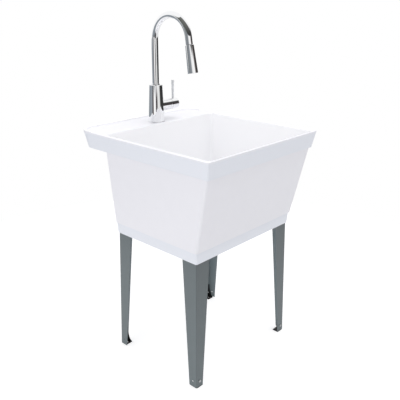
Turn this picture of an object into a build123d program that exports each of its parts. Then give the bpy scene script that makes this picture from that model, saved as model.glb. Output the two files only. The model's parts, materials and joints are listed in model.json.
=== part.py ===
from build123d import *
import math
import os

os.makedirs("parts", exist_ok=True)

# Utility laundry sink: a moulded floor-standing tub on four tapered sheet-steel
# legs, with a deck-mounted pull-down tap.  Millimetres, +Z up, +Y to the wall,
# origin on the floor under the middle of the rim.

# ---------------------------------------------------------------- tub
RIM_WIDTH = 586.0            # across the rim, left to right
RIM_DEPTH = 643.0            # front of the rim to the back of the deck
RIM_HEIGHT = 851.0           # top of the rim above the floor
RIM_BAND = 61.0              # height of the outer band under the rim
RIM_DRAFT = 11.0             # how far the band leans in at its foot
RIM_CORNER_FRONT = 6.0       # plan radius of the two front corners
RIM_CORNER_BACK = 58.0       # plan radius of the two deck corners
RIM_EDGE = 2.5               # rounding of the rim's outer top edge
WALL = 5.5                   # moulded wall of the basin
SIDE_LIP = 17.0              # rim's flat lip at the left and right
FRONT_LIP = 9.0              # rim's flat lip at the front
LIP_EDGE = 4.0               # rounding of the basin's mouth
DECK_DEPTH = 143.0           # deck, from its back edge to the basin
DECK_THICKNESS = 7.0
RIDGE = 4.0                  # low ridge along the deck's back edge
RIDGE_WIDTH = 11.0
RIDGE_INSET = 1.0            # from the rim's outer face
RIDGE_EDGE = 1.6             # rounding of its top
RIDGE_FADE = 40.0            # slope at each of its ends
DECK_RIB_SPAN = 200.0        # between the two ribs under the deck
DECK_RIB_DROP = 26.0
RIB = 4.0                    # thickness of the moulded ribs
BASIN_DEPTH = 323.0          # rim to the flat of the floor
BASIN_CORNER = 9.5           # plan radius inside the basin
WALL_CORNER = 10.0           # plan radius of the walls' outer faces
FLOOR_WIDTH = 518.0          # inside, at the floor
FRONT_RUN = 70.0             # how far the front wall slopes in
BACK_RUN = 21.0              # how far the back wall slopes in
FLOOR_THICKNESS = 6.0
FLOOR_EDGE = 8.0             # rounding between the walls and the floor
SKIRT_HEIGHT = 42.0          # lower band that hides the leg sockets
SKIRT_STEP = 5.0             # step in from the basin's wall
SKIRT_STEP_BACK = 1.0
SKIRT_DRAFT = 3.0
SKIRT_DRAFT_BACK = 1.0
SKIRT_CORNER = 7.0
SKIRT_WALL = 4.0
SOCKET_RIB = 3.0             # inner wall of each leg socket
SOCKET_CLEARANCE = 0.2

# ---------------------------------------------------------------- legs and feet
LEG_SHEET = 1.6
LEG_BEND = 3.2               # outer bend radius of the angle
LEG_TOP_WIDTH = 64.0         # flange width where the leg leaves the tub
LEG_FOOT_WIDTH = 33.5        # flange width at the floor
LEG_SPLAY = 9.5              # how far a leg's corner moves out, tub to floor
LEG_HOLE = 5.6               # fixing hole in each flange
LEG_HOLE_INSET = 17.5        # from the corner of the angle
FOOT_SCREW_HEIGHT = 24.5
FOOT_PLATE = 2.5             # floor plate of the bracket
FOOT_SHEET = 2.0             # upright and web of the bracket
FOOT_HEIGHT = 60.0
FOOT_LENGTH = 26.0           # floor plate, inwards from the flange
FOOT_GAP = 3.0               # between the bracket and the other flange
FOOT_WEB_TOE = 4.0           # height of the web at the plate's end
ANCHOR_HOLE = 7.0
SCREW_DIAMETER = 5.0
SCREW_HEAD = 9.5
SCREW_HEAD_HEIGHT = 2.8
SCREW_TAIL = 2.0             # thread that stands out of the nut
SCREW_SLOT = (5.2, 1.0, 1.0) # arms of the cross recess: length, width, depth
HEAD_ROUND = 0.6             # rounding of a pan head, as a share of its height
NUT_EDGE = 0.5
NUT_ACROSS = 8.0
NUT_HEIGHT = 4.0
TOP_SCREW_DIAMETER = 4.0
TOP_SCREW_HEAD = 8.0
TOP_SCREW_BITE = 2.6         # depth in the tub's skirt
TOP_SCREW_DROP = 20.0        # below the underside of the floor
TOP_SCREW_INSET = 34.0       # from the corner of the angle

# ---------------------------------------------------------------- waste
DRAIN_FORWARD = 45.0         # drain in front of the rim's middle
DRAIN_TUBE = 45.0            # outside diameter of the waste body
DRAIN_BORE = 39.6
DRAIN_LENGTH = 52.0          # flange to the foot of the body
DRAIN_FLANGE = 76.0
DRAIN_FLANGE_THICKNESS = 2.0
DRAIN_RECESS = 5.0           # dish of the floor round the drain
DRAIN_DISH = 240.0           # width of that dish
DRAIN_PAD = 98.0             # thick round pad under the floor
DRAIN_PAD_DROP = 6.0
DRAIN_BAR = 3.0              # cross bars in the waste's throat
DRAIN_BAR_DEPTH = 14.0       # bars below the flange
GASKET = 2.5
GASKET_WIDTH = 66.0
LOCKNUT_WIDTH = 66.0
LOCKNUT_HEIGHT = 12.0
LOCKNUT_LUG = 4.0            # lugs beyond the ring, on the radius
LOCKNUT_LUG_WIDTH = 7.0
LOCKNUT_RIM = 3.0            # full-width rim at its top
SLIP_WASHER = 1.0
TAIL_DIAMETER = 38.1
TAIL_WALL = 1.2
TAIL_LENGTH = 120.0
TAIL_LIP = 43.0
TAIL_LIP_HEIGHT = 1.5
COUPLING_WIDTH = 54.0
COUPLING_HEIGHT = 18.0
COUPLING_FLOOR = 4.0
COUPLING_EDGE = 1.2
COUPLING_ROOM = 0.9          # radial room of the tailpiece in its union nut
COUPLING_GRIP = (3.0, 5.0)   # grip ribs: depth and width
PLUG_TOP = 43.0              # stopper's taper at its top
PLUG_RIM = 3.5               # cap beyond the taper, on the radius
PLUG_HEIGHT = 11.0
PLUG_CAP = 4.0
PLUG_KNOB = 16.0
PLUG_KNOB_HEIGHT = 14.0

# ---------------------------------------------------------------- tap
TAP_INSET = 108.0            # tap's axis in front of the deck's back edge
TAP_HOLE = 35.0
BODY_FOOT = 62.0             # cone at its foot
BODY_TOP = 50.0              # cone at its top
BODY_HEIGHT = 138.0
BODY_EDGE = 1.5
BASE_RING = 65.0
BASE_RING_HEIGHT = 3.0
SEAL_HEIGHT = 1.5
SEAL_OUTER = 58.0
SEAL_INNER = 38.0
SHANK_DIAMETER = 32.0
SHANK_BORE = 26.5
SHANK_GRIP = 14.0            # thread inside the body
SHANK_LENGTH = 66.0          # below the deck's top
MOUNT_WASHER = 58.0
RUBBER_WASHER = 3.0
STEEL_WASHER = 1.5
MOUNT_NUT_WIDTH = 46.0
MOUNT_NUT_HEIGHT = 12.0
INLET_DIAMETER = 9.5
INLET_BORE = 7.0
INLET_SPREAD = 13.0          # between the hot (front) and the cold (back) inlet
INLET_TAIL = 8.0             # inlet thread below the shank
INLET_COLLAR = 1.6           # thread's crest over the tube
INLET_GRIP = 10.0            # inlet tube inside the body
THREAD_FIT = 0.05            # radial room of screwed and turned fits
RUNNING_FIT = 0.05
SEAT_GAP = 0.3               # between curved faces of separate bodies

SPOUT_TUBE = 25.4
SPOUT_WALL = 1.2
SPOUT_RADIUS = 87.0          # centre line of the gooseneck
SPOUT_RISE = 164.5           # straight tube above the body
SPOUT_SWEEP = 170.0          # degrees of arc
SPOUT_END = 26.0             # straight tube after the arc
SPOUT_DEPTH = 50.0           # tube inside the body
SWIVEL_RING = 32.0
SWIVEL_RING_HEIGHT = 3.0
BUSH_WALL = 1.4
INSERT_HEIGHT = 20.0         # brass foot below the tube
INSERT_GRIP = 14.0           # brass foot inside the tube
INSERT_BORE = 17.0
ORING = 2.5
ORING_PITCH = 9.0
INSERT_ROOM = 0.2            # radial room of the brass foot in the body
RING_EDGE = 0.8              # bevel of the swivel ring and the base ring

COLLAR_LENGTH = 16.0         # docking collar inside the spout's end
COLLAR_BORE = 17.6
HEAD_TOP = 31.0
HEAD_FOOT = 38.0
HEAD_LENGTH = 97.0
HEAD_WALL = 1.8
HEAD_JOINT = 0.8             # visible joint between spout and head
HEAD_NECK = 10.0             # docking cone's height inside the collar
HEAD_NECK_WIDTH = 17.0
HOSE_DIAMETER = 12.0
HOSE_BORE = 7.0
HOSE_REACH = 44.0            # hose above the docking cone
HEAD_ROOF = 3.0              # top of the head's shell
NECK_FLANGE = 4.0            # flange of the docking cone, under that roof
NECK_STEP = 1.0              # docking cone's waist through the roof, on the radius
HEAD_EDGE_TOP = 1.2
HEAD_EDGE_FOOT = 1.0
FACE_RECESS = 1.6
FACE_THICKNESS = 3.0
NOZZLE_SHEET = 1.0           # rubber sheet that carries the nozzles
NOZZLE_SHEET_WIDTH = 30.0
NOZZLE = 2.0
NOZZLE_HEIGHT = 1.4
NOZZLE_RINGS = ((6, 5.0), (12, 9.5), (18, 13.0))   # count, radius of each ring
CORE_WIDTH = 22.0            # water guide inside the head
CORE_LENGTH = 34.0
CORE_STEP = 4.0              # how much wider its lower part is

# ---------------------------------------------------------------- mixer handle
BARREL = 42.0                # side barrel and hub
BARREL_HEIGHT = 59.0         # barrel's axis above the deck
BARREL_WALL = 3.0
SEAM_OUT = 71.5              # seam between barrel and hub, from the tap's axis
PIVOT_OUT = 59.5             # the lever's pivot, from the tap's axis
BARREL_OUT = 66.0            # end of the fixed barrel
BARREL_FLOOR = 31.0          # where the cartridge seats
HUB_OUT = 104.0              # end of the hub
HUB_EDGE = 1.6
DOME_MOUTH = 26.5            # hole in the dome that the stem swings in
DOME_WALL = 2.0
DOME_SPIGOT = 0.8            # centring step inside the barrel's end
SEAM = 0.3                   # room between the dome and the hub
CARTRIDGE_LENGTH = 28.0
ROTOR = 24.0
ROTOR_FLOOR = 8.0            # cartridge's floor under the disc
DISC = 3.0                   # ceramic disc
ROTOR_STANDOUT = 5.5         # rotor beyond the cartridge
BONNET_HEIGHT = 5.0
STEM = 7.0
STEM_BACK = 8.0              # stem behind its pivot
STEM_REACH = 36.0            # stem in front of its pivot
STEM_SWING = 9.0             # half the slot that the stem swings in
STEM_EDGE = 0.6
STEM_ROOM = 2.0              # slot's floor behind the stem
PIVOT_PIN = 3.0
PORT = 6.0                   # water ports between cartridge and body
PORT_CIRCLE = 8.0
DISC_PORT = 3.6
BONNET_NOTCH = (5.0, 3.0, 4.0)
LEVER_OUT = 89.0             # lever's place, from the tap's axis
LEVER_HEIGHT = 69.0          # above the hub
LEVER_FOOT_WIDTH = 8.5
LEVER_TOP_WIDTH = 13.0
LEVER_THICKNESS = 4.6
LEVER_EDGE = 1.4
LEVER_STUD = 5.0
LEVER_STUD_LENGTH = 8.0
SET_SCREW = 5.0
SET_SCREW_LENGTH = 9.0
SET_SCREW_KEY = 1.4          # its hexagon, on the radius
SET_SCREW_KEY_DEPTH = 2.0

# ---------------------------------------------------------------- places worked out
HALF_WIDTH = RIM_WIDTH / 2
FRONT = -RIM_DEPTH / 2
BACK = RIM_DEPTH / 2
TAP_BACK = BACK - TAP_INSET
FLOOR_TOP = RIM_HEIGHT - BASIN_DEPTH
FLOOR_UNDER = FLOOR_TOP - FLOOR_THICKNESS
SKIRT_TOP = FLOOR_UNDER + 2.0
SKIRT_FOOT = SKIRT_TOP - SKIRT_HEIGHT
BAND_FOOT = RIM_HEIGHT - RIM_BAND
DECK_UNDER = RIM_HEIGHT - DECK_THICKNESS
MOUTH = (HALF_WIDTH - SIDE_LIP, FRONT + FRONT_LIP, BACK - DECK_DEPTH)
FLOOR = (FLOOR_WIDTH / 2, MOUTH[1] + FRONT_RUN, MOUTH[2] - BACK_RUN)
EPS = 1.0                    # overrun of cutting tools
CORNERS = [(side, end) for side in (-1, 1) for end in (-1, 1)]   # left/right, front/back


def save(node, shape):
    """Write one sub-part under its node's name."""
    export_step(shape, f"parts/{node}.step")


# ---------------------------------------------------------------- shared forms
def outline(extent, corner_front, corner_back, z):
    """Rounded rectangle at height z; extent is (half width, front y, back y)."""
    half, front, back = extent
    edges = [
        Line((-half + corner_front, front), (half - corner_front, front)),
        CenterArc((half - corner_front, front + corner_front), corner_front, -90, 90),
        Line((half, front + corner_front), (half, back - corner_back)),
        CenterArc((half - corner_back, back - corner_back), corner_back, 0, 90),
        Line((half - corner_back, back), (-half + corner_back, back)),
        CenterArc((-half + corner_back, back - corner_back), corner_back, 90, 90),
        Line((-half, back - corner_back), (-half, front + corner_front)),
        CenterArc((-half + corner_front, front + corner_front), corner_front, 180, 90),
    ]
    return Pos(0, 0, z) * make_face(Curve() + edges)


def grown(extent, by):
    """Extent moved outwards by the same amount on every side."""
    half, front, back = extent
    return (half + by, front - by, back + by)


def basin_extent(z):
    """Inner face of the basin's walls at height z."""
    t = (RIM_HEIGHT - z) / BASIN_DEPTH
    return tuple(m + (f - m) * t for m, f in zip(MOUTH, FLOOR))


def tube(outer, inner, z0, z1):
    """Upright ring from z0 to z1, with diameters outer and inner."""
    ring = Cylinder(outer / 2, z1 - z0) - Cylinder(inner / 2, z1 - z0 + 2 * EPS)
    return Pos(0, 0, (z0 + z1) / 2) * ring


def rod(diameter, z0, z1):
    return Pos(0, 0, (z0 + z1) / 2) * Cylinder(diameter / 2, z1 - z0)


def cone(d0, d1, z0, z1):
    return Pos(0, 0, (z0 + z1) / 2) * Cone(d0 / 2, d1 / 2, z1 - z0)


def hex_nut(across, bore, z0, z1, chamfered=0.8):
    """Hexagon nut with its top and bottom corners turned off."""
    body = extrude(RegularPolygon(across / 2, 6, major_radius=False), z1 - z0)
    turned = cone(across * 1.155 + 2 * chamfered, across - chamfered, 0, z1 - z0)
    turned &= cone(across - chamfered, across * 1.155 + 2 * chamfered, 0, z1 - z0)
    blank = Pos(0, 0, z0) * (body & Cylinder(across * 0.56, 2 * (z1 - z0)))
    return blank - rod(bore, z0 - EPS, z1 + EPS)


def at(x, y, shape):
    return Pos(x, y, 0) * shape


# ---------------------------------------------------------------- legs
def splay(z):
    """How far outwards a leg's corner stands at height z."""
    return LEG_SPLAY * (SKIRT_FOOT - z) / SKIRT_FOOT


def leg_extent(z):
    """Outer faces of the four legs at height z."""
    foot = skirt_extent(SKIRT_FOOT)
    return grown(foot, splay(z) - SKIRT_WALL)


def leg_width(z):
    return LEG_FOOT_WIDTH + (LEG_TOP_WIDTH - LEG_FOOT_WIDTH) * z / SKIRT_FOOT


def skirt_extent(z):
    """Outer faces of the lower band at height z."""
    half, front, back = grown(basin_extent(FLOOR_TOP), WALL)
    t = (SKIRT_TOP - z) / SKIRT_HEIGHT
    side = SKIRT_STEP + SKIRT_DRAFT * t
    rear = SKIRT_STEP_BACK + SKIRT_DRAFT_BACK * t
    return (half - side, front + side, back - rear)


def angle_section(z, inset, thickness, width, side, end):
    """L-shaped section of one corner: side is -1 left or 1 right, end -1 front or 1 back."""
    half, front, back = grown(leg_extent(z), -inset)
    x = side * half
    y = back if end > 0 else front
    points = [
        (x, y),
        (x - side * width, y),
        (x - side * width, y - end * thickness),
        (x - side * thickness, y - end * thickness),
        (x - side * thickness, y - end * width),
        (x, y - end * width),
    ]
    return Pos(0, 0, z) * make_face(Polyline(*points, close=True))


def angle_bar(z0, z1, inset, thickness, widths, side, end):
    sections = [
        angle_section(z, inset, thickness, width, side, end)
        for z, width in zip((z0, z1), widths)
    ]
    return loft(sections, ruled=True)


def corner_point(side, end, z):
    half, front, back = leg_extent(z)
    return side * half, back if end > 0 else front


def bend_edges(leg, side, end):
    """The angle's outer and inner corner edges."""
    x, y = corner_point(side, end, SKIRT_FOOT / 2)
    upright = [e for e in leg.edges() if abs((e % 0.5).Z) > 0.9]
    def distance(edge, off):
        middle = edge @ 0.5
        return math.hypot(middle.X - (x - side * off), middle.Y - (y - end * off))
    outer = min(upright, key=lambda e: distance(e, 0))
    inner = min(upright, key=lambda e: distance(e, LEG_SHEET))
    return outer, inner


def flange_hole(side, end, across_x):
    """Cutter for the fixing hole of one flange, near the foot."""
    x, y = corner_point(side, end, FOOT_SCREW_HEIGHT)
    drill = Cylinder(LEG_HOLE / 2, 6 * LEG_SHEET)
    if across_x:
        place = Pos(x, y - end * LEG_HOLE_INSET, FOOT_SCREW_HEIGHT)
        return place * Rot(0, 90, 0) * drill
    place = Pos(x - side * LEG_HOLE_INSET, y, FOOT_SCREW_HEIGHT)
    return place * Rot(90, 0, 0) * drill


def top_screw_place(side, end):
    z = FLOOR_UNDER - TOP_SCREW_DROP
    x, y = corner_point(side, end, z)
    return x, y - end * TOP_SCREW_INSET, z


def leg(side, end):
    top = FLOOR_UNDER
    bar = angle_bar(
        FOOT_PLATE, top, 0, LEG_SHEET, (leg_width(FOOT_PLATE), leg_width(top)), side, end
    )
    outer, inner = bend_edges(bar, side, end)
    bar = fillet(outer, LEG_BEND)
    outer, inner = bend_edges(bar, side, end)
    bar -= flange_hole(side, end, True)
    bar -= flange_hole(side, end, False)
    x, y, z = top_screw_place(side, end)
    bar -= Pos(x, y, z) * Rot(0, 90, 0) * Cylinder(LEG_HOLE / 2, 6 * LEG_SHEET)
    return bar


def socket_rib(side, end):
    """Inner wall of the slot that a leg slides up into."""
    inset = LEG_SHEET + SOCKET_CLEARANCE
    z0, z1 = SKIRT_FOOT + 2 * EPS, FLOOR_UNDER + EPS
    width = leg_width(z1) + SOCKET_RIB
    return angle_bar(z0, z1, inset, SOCKET_RIB, (width, width), side, end)


def top_screw_bore(side, end):
    """Cutter through the socket's inner wall and part of the way into the skirt."""
    x, y, z = top_screw_place(side, end)
    outward = TOP_SCREW_BITE + 2 * THREAD_FIT
    inward = LEG_SHEET + SOCKET_RIB + 3 * SOCKET_CLEARANCE + EPS
    bore = Cylinder(TOP_SCREW_DIAMETER / 2 + THREAD_FIT, outward + inward)
    return Pos(x + side * (outward - inward) / 2, y, z) * Rot(0, 90, 0) * bore


# ---------------------------------------------------------------- tub
def rim_extent(z):
    """Outer face of the band under the rim."""
    return grown((HALF_WIDTH, FRONT, BACK), -RIM_DRAFT * (RIM_HEIGHT - z) / RIM_BAND)


def band():
    top = outline(rim_extent(RIM_HEIGHT), RIM_CORNER_FRONT, RIM_CORNER_BACK, RIM_HEIGHT)
    foot = outline(rim_extent(BAND_FOOT), RIM_CORNER_FRONT, RIM_CORNER_BACK, BAND_FOOT)
    return loft([foot, top], ruled=True)


def basin_walls():
    low, high = SKIRT_TOP, BAND_FOOT + RIM_BAND / 2
    sections = [outline(grown(basin_extent(z), WALL), WALL_CORNER, WALL_CORNER, z) for z in (low, high)]
    return loft(sections, ruled=True)


def basin_room():
    """The hollow that holds the water."""
    low, high = FLOOR_TOP, RIM_HEIGHT + EPS
    sections = [outline(basin_extent(z), BASIN_CORNER, BASIN_CORNER, z) for z in (low, high)]
    room = loft(sections, ruled=True)
    floor_edges = room.faces().sort_by(Axis.Z)[0].edges()
    room = fillet(floor_edges, FLOOR_EDGE)
    dish = cone(DRAIN_FLANGE + 2 * SEAT_GAP, DRAIN_DISH, FLOOR_TOP - DRAIN_RECESS, FLOOR_TOP)
    return room + at(0, -DRAIN_FORWARD, dish)


def deck_hollow():
    """Open space under the deck, behind the basin's back wall."""
    sections = []
    for z in (BAND_FOOT - EPS, DECK_UNDER):
        half, _, back = grown(rim_extent(z), -WALL)
        wall_back = basin_extent(z)[2] + WALL
        sections.append(outline((half, wall_back, back), RIB, RIM_CORNER_BACK - WALL, z))
    return loft(sections, ruled=True)


def deck_ribs():
    z0, z1 = DECK_UNDER - DECK_RIB_DROP, DECK_UNDER + EPS
    y0 = basin_extent(z0)[2] + WALL / 2
    y1 = BACK - RIM_DRAFT - WALL / 2
    ribs = []
    for side in (-1, 1):
        rib = Box(RIB, y1 - y0, z1 - z0)
        ribs.append(Pos(side * DECK_RIB_SPAN / 2, (y0 + y1) / 2, (z0 + z1) / 2) * rib)
    return ribs


def back_ridge():
    """Low ridge on the rim that keeps splashes off the wall; it fades out at both sides."""
    z0, z1 = RIM_HEIGHT - RIM_EDGE, RIM_HEIGHT + RIDGE
    outer = grown(rim_extent(RIM_HEIGHT), -RIDGE_INSET)
    inner = grown(outer, -RIDGE_WIDTH)
    corner = RIM_CORNER_BACK - RIDGE_INSET
    ring = extrude(outline(outer, RIM_CORNER_FRONT, corner, z0), z1 - z0)
    ring -= extrude(outline(inner, RIM_CORNER_FRONT, corner - RIDGE_WIDTH, z0 - EPS), z1 - z0 + 2 * EPS)
    ring = fillet(ring.faces().sort_by(Axis.Z)[-1].edges(), RIDGE_EDGE)
    y1 = BACK - RIM_CORNER_BACK
    side = [
        (y1 - RIDGE_FADE, RIM_HEIGHT - RIDGE_EDGE),
        (y1, z1 + EPS),
        (BACK + EPS, z1 + EPS),
        (BACK + EPS, z0 - EPS),
        (y1 - RIDGE_FADE, z0 - EPS),
    ]
    return ring & extrude(Plane.YZ * make_face(Polyline(*side, close=True)), RIM_WIDTH, both=True)


def skirt():
    z0, z1 = SKIRT_FOOT, SKIRT_TOP
    outer = loft(
        [outline(skirt_extent(z), SKIRT_CORNER, SKIRT_CORNER, z) for z in (z0, z1)],
        ruled=True,
    )
    cavity = loft(
        [
            outline(grown(leg_extent(z), SOCKET_CLEARANCE), LEG_BEND / 2, LEG_BEND / 2, z)
            for z in (z0 - EPS, FLOOR_UNDER)
        ],
        ruled=True,
    )
    return outer - cavity


def floor_ribs():
    """Cross ribs under the floor, inside the lower band."""
    half, front, back = skirt_extent(SKIRT_TOP)
    drop = SKIRT_HEIGHT / 2
    z = FLOOR_UNDER - drop / 2
    reach = leg_width(FLOOR_UNDER) + 2 * SOCKET_RIB
    ribs = []
    for side in (-1, 1):
        x = side * (half - reach - RIB)
        ribs.append(Pos(x, (front + back) / 2, z) * Box(RIB, back - front - SKIRT_WALL, drop))
    for end, y0 in ((-1, front), (1, back)):
        y = y0 - end * (reach + RIB)
        ribs.append(Pos(0, y, z) * Box(2 * half - SKIRT_WALL, RIB, drop))
    return ribs


def drain_pad():
    pad = rod(DRAIN_PAD, FLOOR_UNDER - DRAIN_PAD_DROP, FLOOR_UNDER + EPS)
    return at(0, -DRAIN_FORWARD, pad)


def tub():
    shell = band() + basin_walls()
    outer_top = shell.faces().sort_by(Axis.Z)[-1].edges()
    shell = fillet(outer_top, RIM_EDGE)
    shell += skirt()
    shell += drain_pad()
    for rib in floor_ribs():
        shell += rib
    shell -= deck_hollow()
    for rib in deck_ribs():
        shell += rib
    shell -= basin_room()
    rim = shell.faces().filter_by(Plane.XY).sort_by(Axis.Z)[-1]
    shell = fillet(rim.inner_wires()[0].edges(), LIP_EDGE)
    shell += back_ridge()
    for side, end in CORNERS:
        shell += socket_rib(side, end)
    for side, end in CORNERS:
        shell -= top_screw_bore(side, end)
    shell -= at(0, TAP_BACK, rod(TAP_HOLE, DECK_UNDER - EPS, RIM_HEIGHT + EPS))
    low = FLOOR_UNDER - DRAIN_PAD_DROP - EPS
    shell -= at(0, -DRAIN_FORWARD, rod(DRAIN_TUBE + 2 * SEAT_GAP, low, FLOOR_TOP))
    return shell


# ---------------------------------------------------------------- feet
def foot_bracket(side, end):
    """Floor bracket inside one leg: floor plate, upright against the flange, one web.

    The same stamping serves all four legs; those at the back are turned half round.
    """
    x, y = corner_point(side, end, 0)
    lean = (y - corner_point(side, end, FOOT_HEIGHT)[1]) / FOOT_HEIGHT
    def flange_face(z):
        return y - lean * z - end * (LEG_SHEET + THREAD_FIT)
    inner = [
        (y, 0),
        (y - end * FOOT_LENGTH, 0),
        (y - end * FOOT_LENGTH, FOOT_PLATE),
        (flange_face(FOOT_PLATE) - end * FOOT_SHEET, FOOT_PLATE),
        (flange_face(FOOT_HEIGHT) - end * FOOT_SHEET, FOOT_HEIGHT),
        (flange_face(FOOT_HEIGHT), FOOT_HEIGHT),
        (flange_face(FOOT_PLATE), FOOT_PLATE),
        (y, FOOT_PLATE),
    ]
    near = LEG_SHEET + FOOT_GAP
    far = leg_width(0)
    x0, x1 = sorted((x - side * near, x - side * far))
    strip = extrude(Plane.YZ * make_face(Polyline(*inner, close=True)), x1 - x0)
    bracket = Pos(x0, 0, 0) * strip
    # hollow-edged web on the -X edge at the front and on the +X edge at the back
    toe = (y - end * FOOT_LENGTH, FOOT_WEB_TOE)
    head = (flange_face(FOOT_HEIGHT) - end * FOOT_SHEET / 2, FOOT_HEIGHT)
    hollow = (head[0] - end * FOOT_SHEET, FOOT_WEB_TOE)
    base = [
        Line((head[0], 0), (toe[0], 0)),
        Line((toe[0], 0), toe),
        Bezier(toe, hollow, head),
        Line(head, (head[0], 0)),
    ]
    web = extrude(Plane.YZ * make_face(Curve() + base), FOOT_SHEET)
    web_x = x0 if end < 0 else x1 - FOOT_SHEET
    bracket += Pos(web_x, 0, 0) * web
    centre = (x0 + x1) / 2
    bracket -= at(centre, anchor_y(side, end), rod(ANCHOR_HOLE, -EPS, FOOT_PLATE + EPS))
    bracket -= flange_hole(side, end, False)
    return bracket


def anchor_y(side, end):
    """Anchor hole's place: half way along the free part of the floor plate."""
    y = corner_point(side, end, 0)[1]
    return y - end * (FOOT_LENGTH + LEG_SHEET + FOOT_SHEET) / 2


def pan_head(diameter, z):
    """Pan head with a cross recess, standing on height z."""
    head = rod(diameter, z, z + SCREW_HEAD_HEIGHT)
    head = fillet(head.edges().sort_by(Axis.Z)[-1], SCREW_HEAD_HEIGHT * HEAD_ROUND)
    length, width, depth = SCREW_SLOT
    for turn in (0, 90):
        head -= Pos(0, 0, z + SCREW_HEAD_HEIGHT) * Rot(0, 0, turn) * Box(length, width, 2 * depth)
    return head


def outwards(end):
    """Turn +Z to point out of the front or the back flange."""
    return Rot(-90 * end, 0, 0)


def foot_screw(side, end):
    """Pan-head machine screw through the flange and the bracket's upright."""
    x, y = corner_point(side, end, FOOT_SCREW_HEIGHT)
    grip = LEG_SHEET + FOOT_SHEET + THREAD_FIT + 2 * SEAT_GAP
    shank = rod(SCREW_DIAMETER, -grip - NUT_HEIGHT - SCREW_TAIL, 0)
    screw = shank + pan_head(SCREW_HEAD, 0)
    return Pos(x - side * LEG_HOLE_INSET, y + end * SEAT_GAP, FOOT_SCREW_HEIGHT) * outwards(end) * screw


def foot_nut(side, end):
    x, y = corner_point(side, end, FOOT_SCREW_HEIGHT)
    seat = LEG_SHEET + FOOT_SHEET + THREAD_FIT + SEAT_GAP
    bore = SCREW_DIAMETER + 2 * THREAD_FIT
    nut = hex_nut(NUT_ACROSS, bore, -seat - NUT_HEIGHT, -seat, NUT_EDGE)
    return Pos(x - side * LEG_HOLE_INSET, y, FOOT_SCREW_HEIGHT) * outwards(end) * nut


def top_screw(side, end):
    """Short screw from inside the socket, through the flange into the skirt."""
    x, y, z = top_screw_place(side, end)
    inner = LEG_SHEET + SOCKET_RIB + 2 * SOCKET_CLEARANCE
    shank = rod(TOP_SCREW_DIAMETER, -TOP_SCREW_BITE, inner)
    return Pos(x, y, z) * Rot(0, -90 * side, 0) * (shank + pan_head(TOP_SCREW_HEAD, inner))


def corners(maker):
    return Compound(children=[maker(side, end) for side, end in CORNERS])


# ---------------------------------------------------------------- waste and stopper
FLANGE_SEAT = FLOOR_TOP - DRAIN_RECESS + GASKET
PAD_UNDER = FLOOR_UNDER - DRAIN_PAD_DROP
BODY_FOOT_Z = FLANGE_SEAT + DRAIN_FLANGE_THICKNESS - DRAIN_LENGTH


def on_drain(shape):
    return at(0, -DRAIN_FORWARD, shape)


def drain_body():
    """Flanged waste with a cross of bars in its throat."""
    top = FLANGE_SEAT + DRAIN_FLANGE_THICKNESS
    body = rod(DRAIN_TUBE, BODY_FOOT_Z, top)
    flange = rod(DRAIN_FLANGE, FLANGE_SEAT, top)
    flange = fillet(flange.edges().sort_by(Axis.Z)[-1], DRAIN_FLANGE_THICKNESS * 0.6)
    body += flange
    body -= rod(DRAIN_BORE, BODY_FOOT_Z - EPS, top + EPS)
    body -= cone(DRAIN_BORE, PLUG_TOP, top - PLUG_HEIGHT, top + EPS / 10)
    bar_z = top - DRAIN_BAR_DEPTH - DRAIN_BAR / 2
    for turn in (0, 90):
        bar = Box(DRAIN_BORE + (DRAIN_TUBE - DRAIN_BORE) / 2, DRAIN_BAR, DRAIN_BAR)
        body += Pos(0, 0, bar_z) * Rot(0, 0, turn) * bar
    return on_drain(body)


def drain_upper_gasket():
    return on_drain(tube(GASKET_WIDTH, DRAIN_TUBE + 2 * SEAT_GAP, FLANGE_SEAT - GASKET, FLANGE_SEAT))


def drain_lower_gasket():
    return on_drain(tube(GASKET_WIDTH, DRAIN_TUBE + 2 * SEAT_GAP, PAD_UNDER - GASKET, PAD_UNDER))


def drain_locknut():
    """Ring nut with six lugs."""
    z1 = PAD_UNDER - GASKET
    z0 = z1 - LOCKNUT_HEIGHT
    nut = rod(LOCKNUT_WIDTH - 2 * LOCKNUT_LUG, z0, z1) + rod(LOCKNUT_WIDTH, z1 - LOCKNUT_RIM, z1)
    lug_x = LOCKNUT_WIDTH / 2 - LOCKNUT_LUG
    for turn in range(0, 360, 60):
        lug = Box(2 * LOCKNUT_LUG, LOCKNUT_LUG_WIDTH, LOCKNUT_HEIGHT)
        nut += Rot(0, 0, turn) * Pos(lug_x, 0, (z0 + z1) / 2) * lug
    return on_drain(nut - rod(DRAIN_TUBE + 2 * THREAD_FIT, z0 - EPS, z1 + EPS))


def tail_top():
    return BODY_FOOT_Z - SLIP_WASHER


def slip_washer():
    return on_drain(tube(DRAIN_TUBE - 2 * SEAT_GAP, DRAIN_BORE, tail_top(), BODY_FOOT_Z))


def tailpiece():
    z1 = tail_top()
    pipe = rod(TAIL_DIAMETER, z1 - TAIL_LENGTH, z1) + rod(TAIL_LIP, z1 - TAIL_LIP_HEIGHT, z1)
    bore = rod(TAIL_DIAMETER - 2 * TAIL_WALL, z1 - TAIL_LENGTH - EPS, z1 + EPS)
    return on_drain(pipe - bore)


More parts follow.
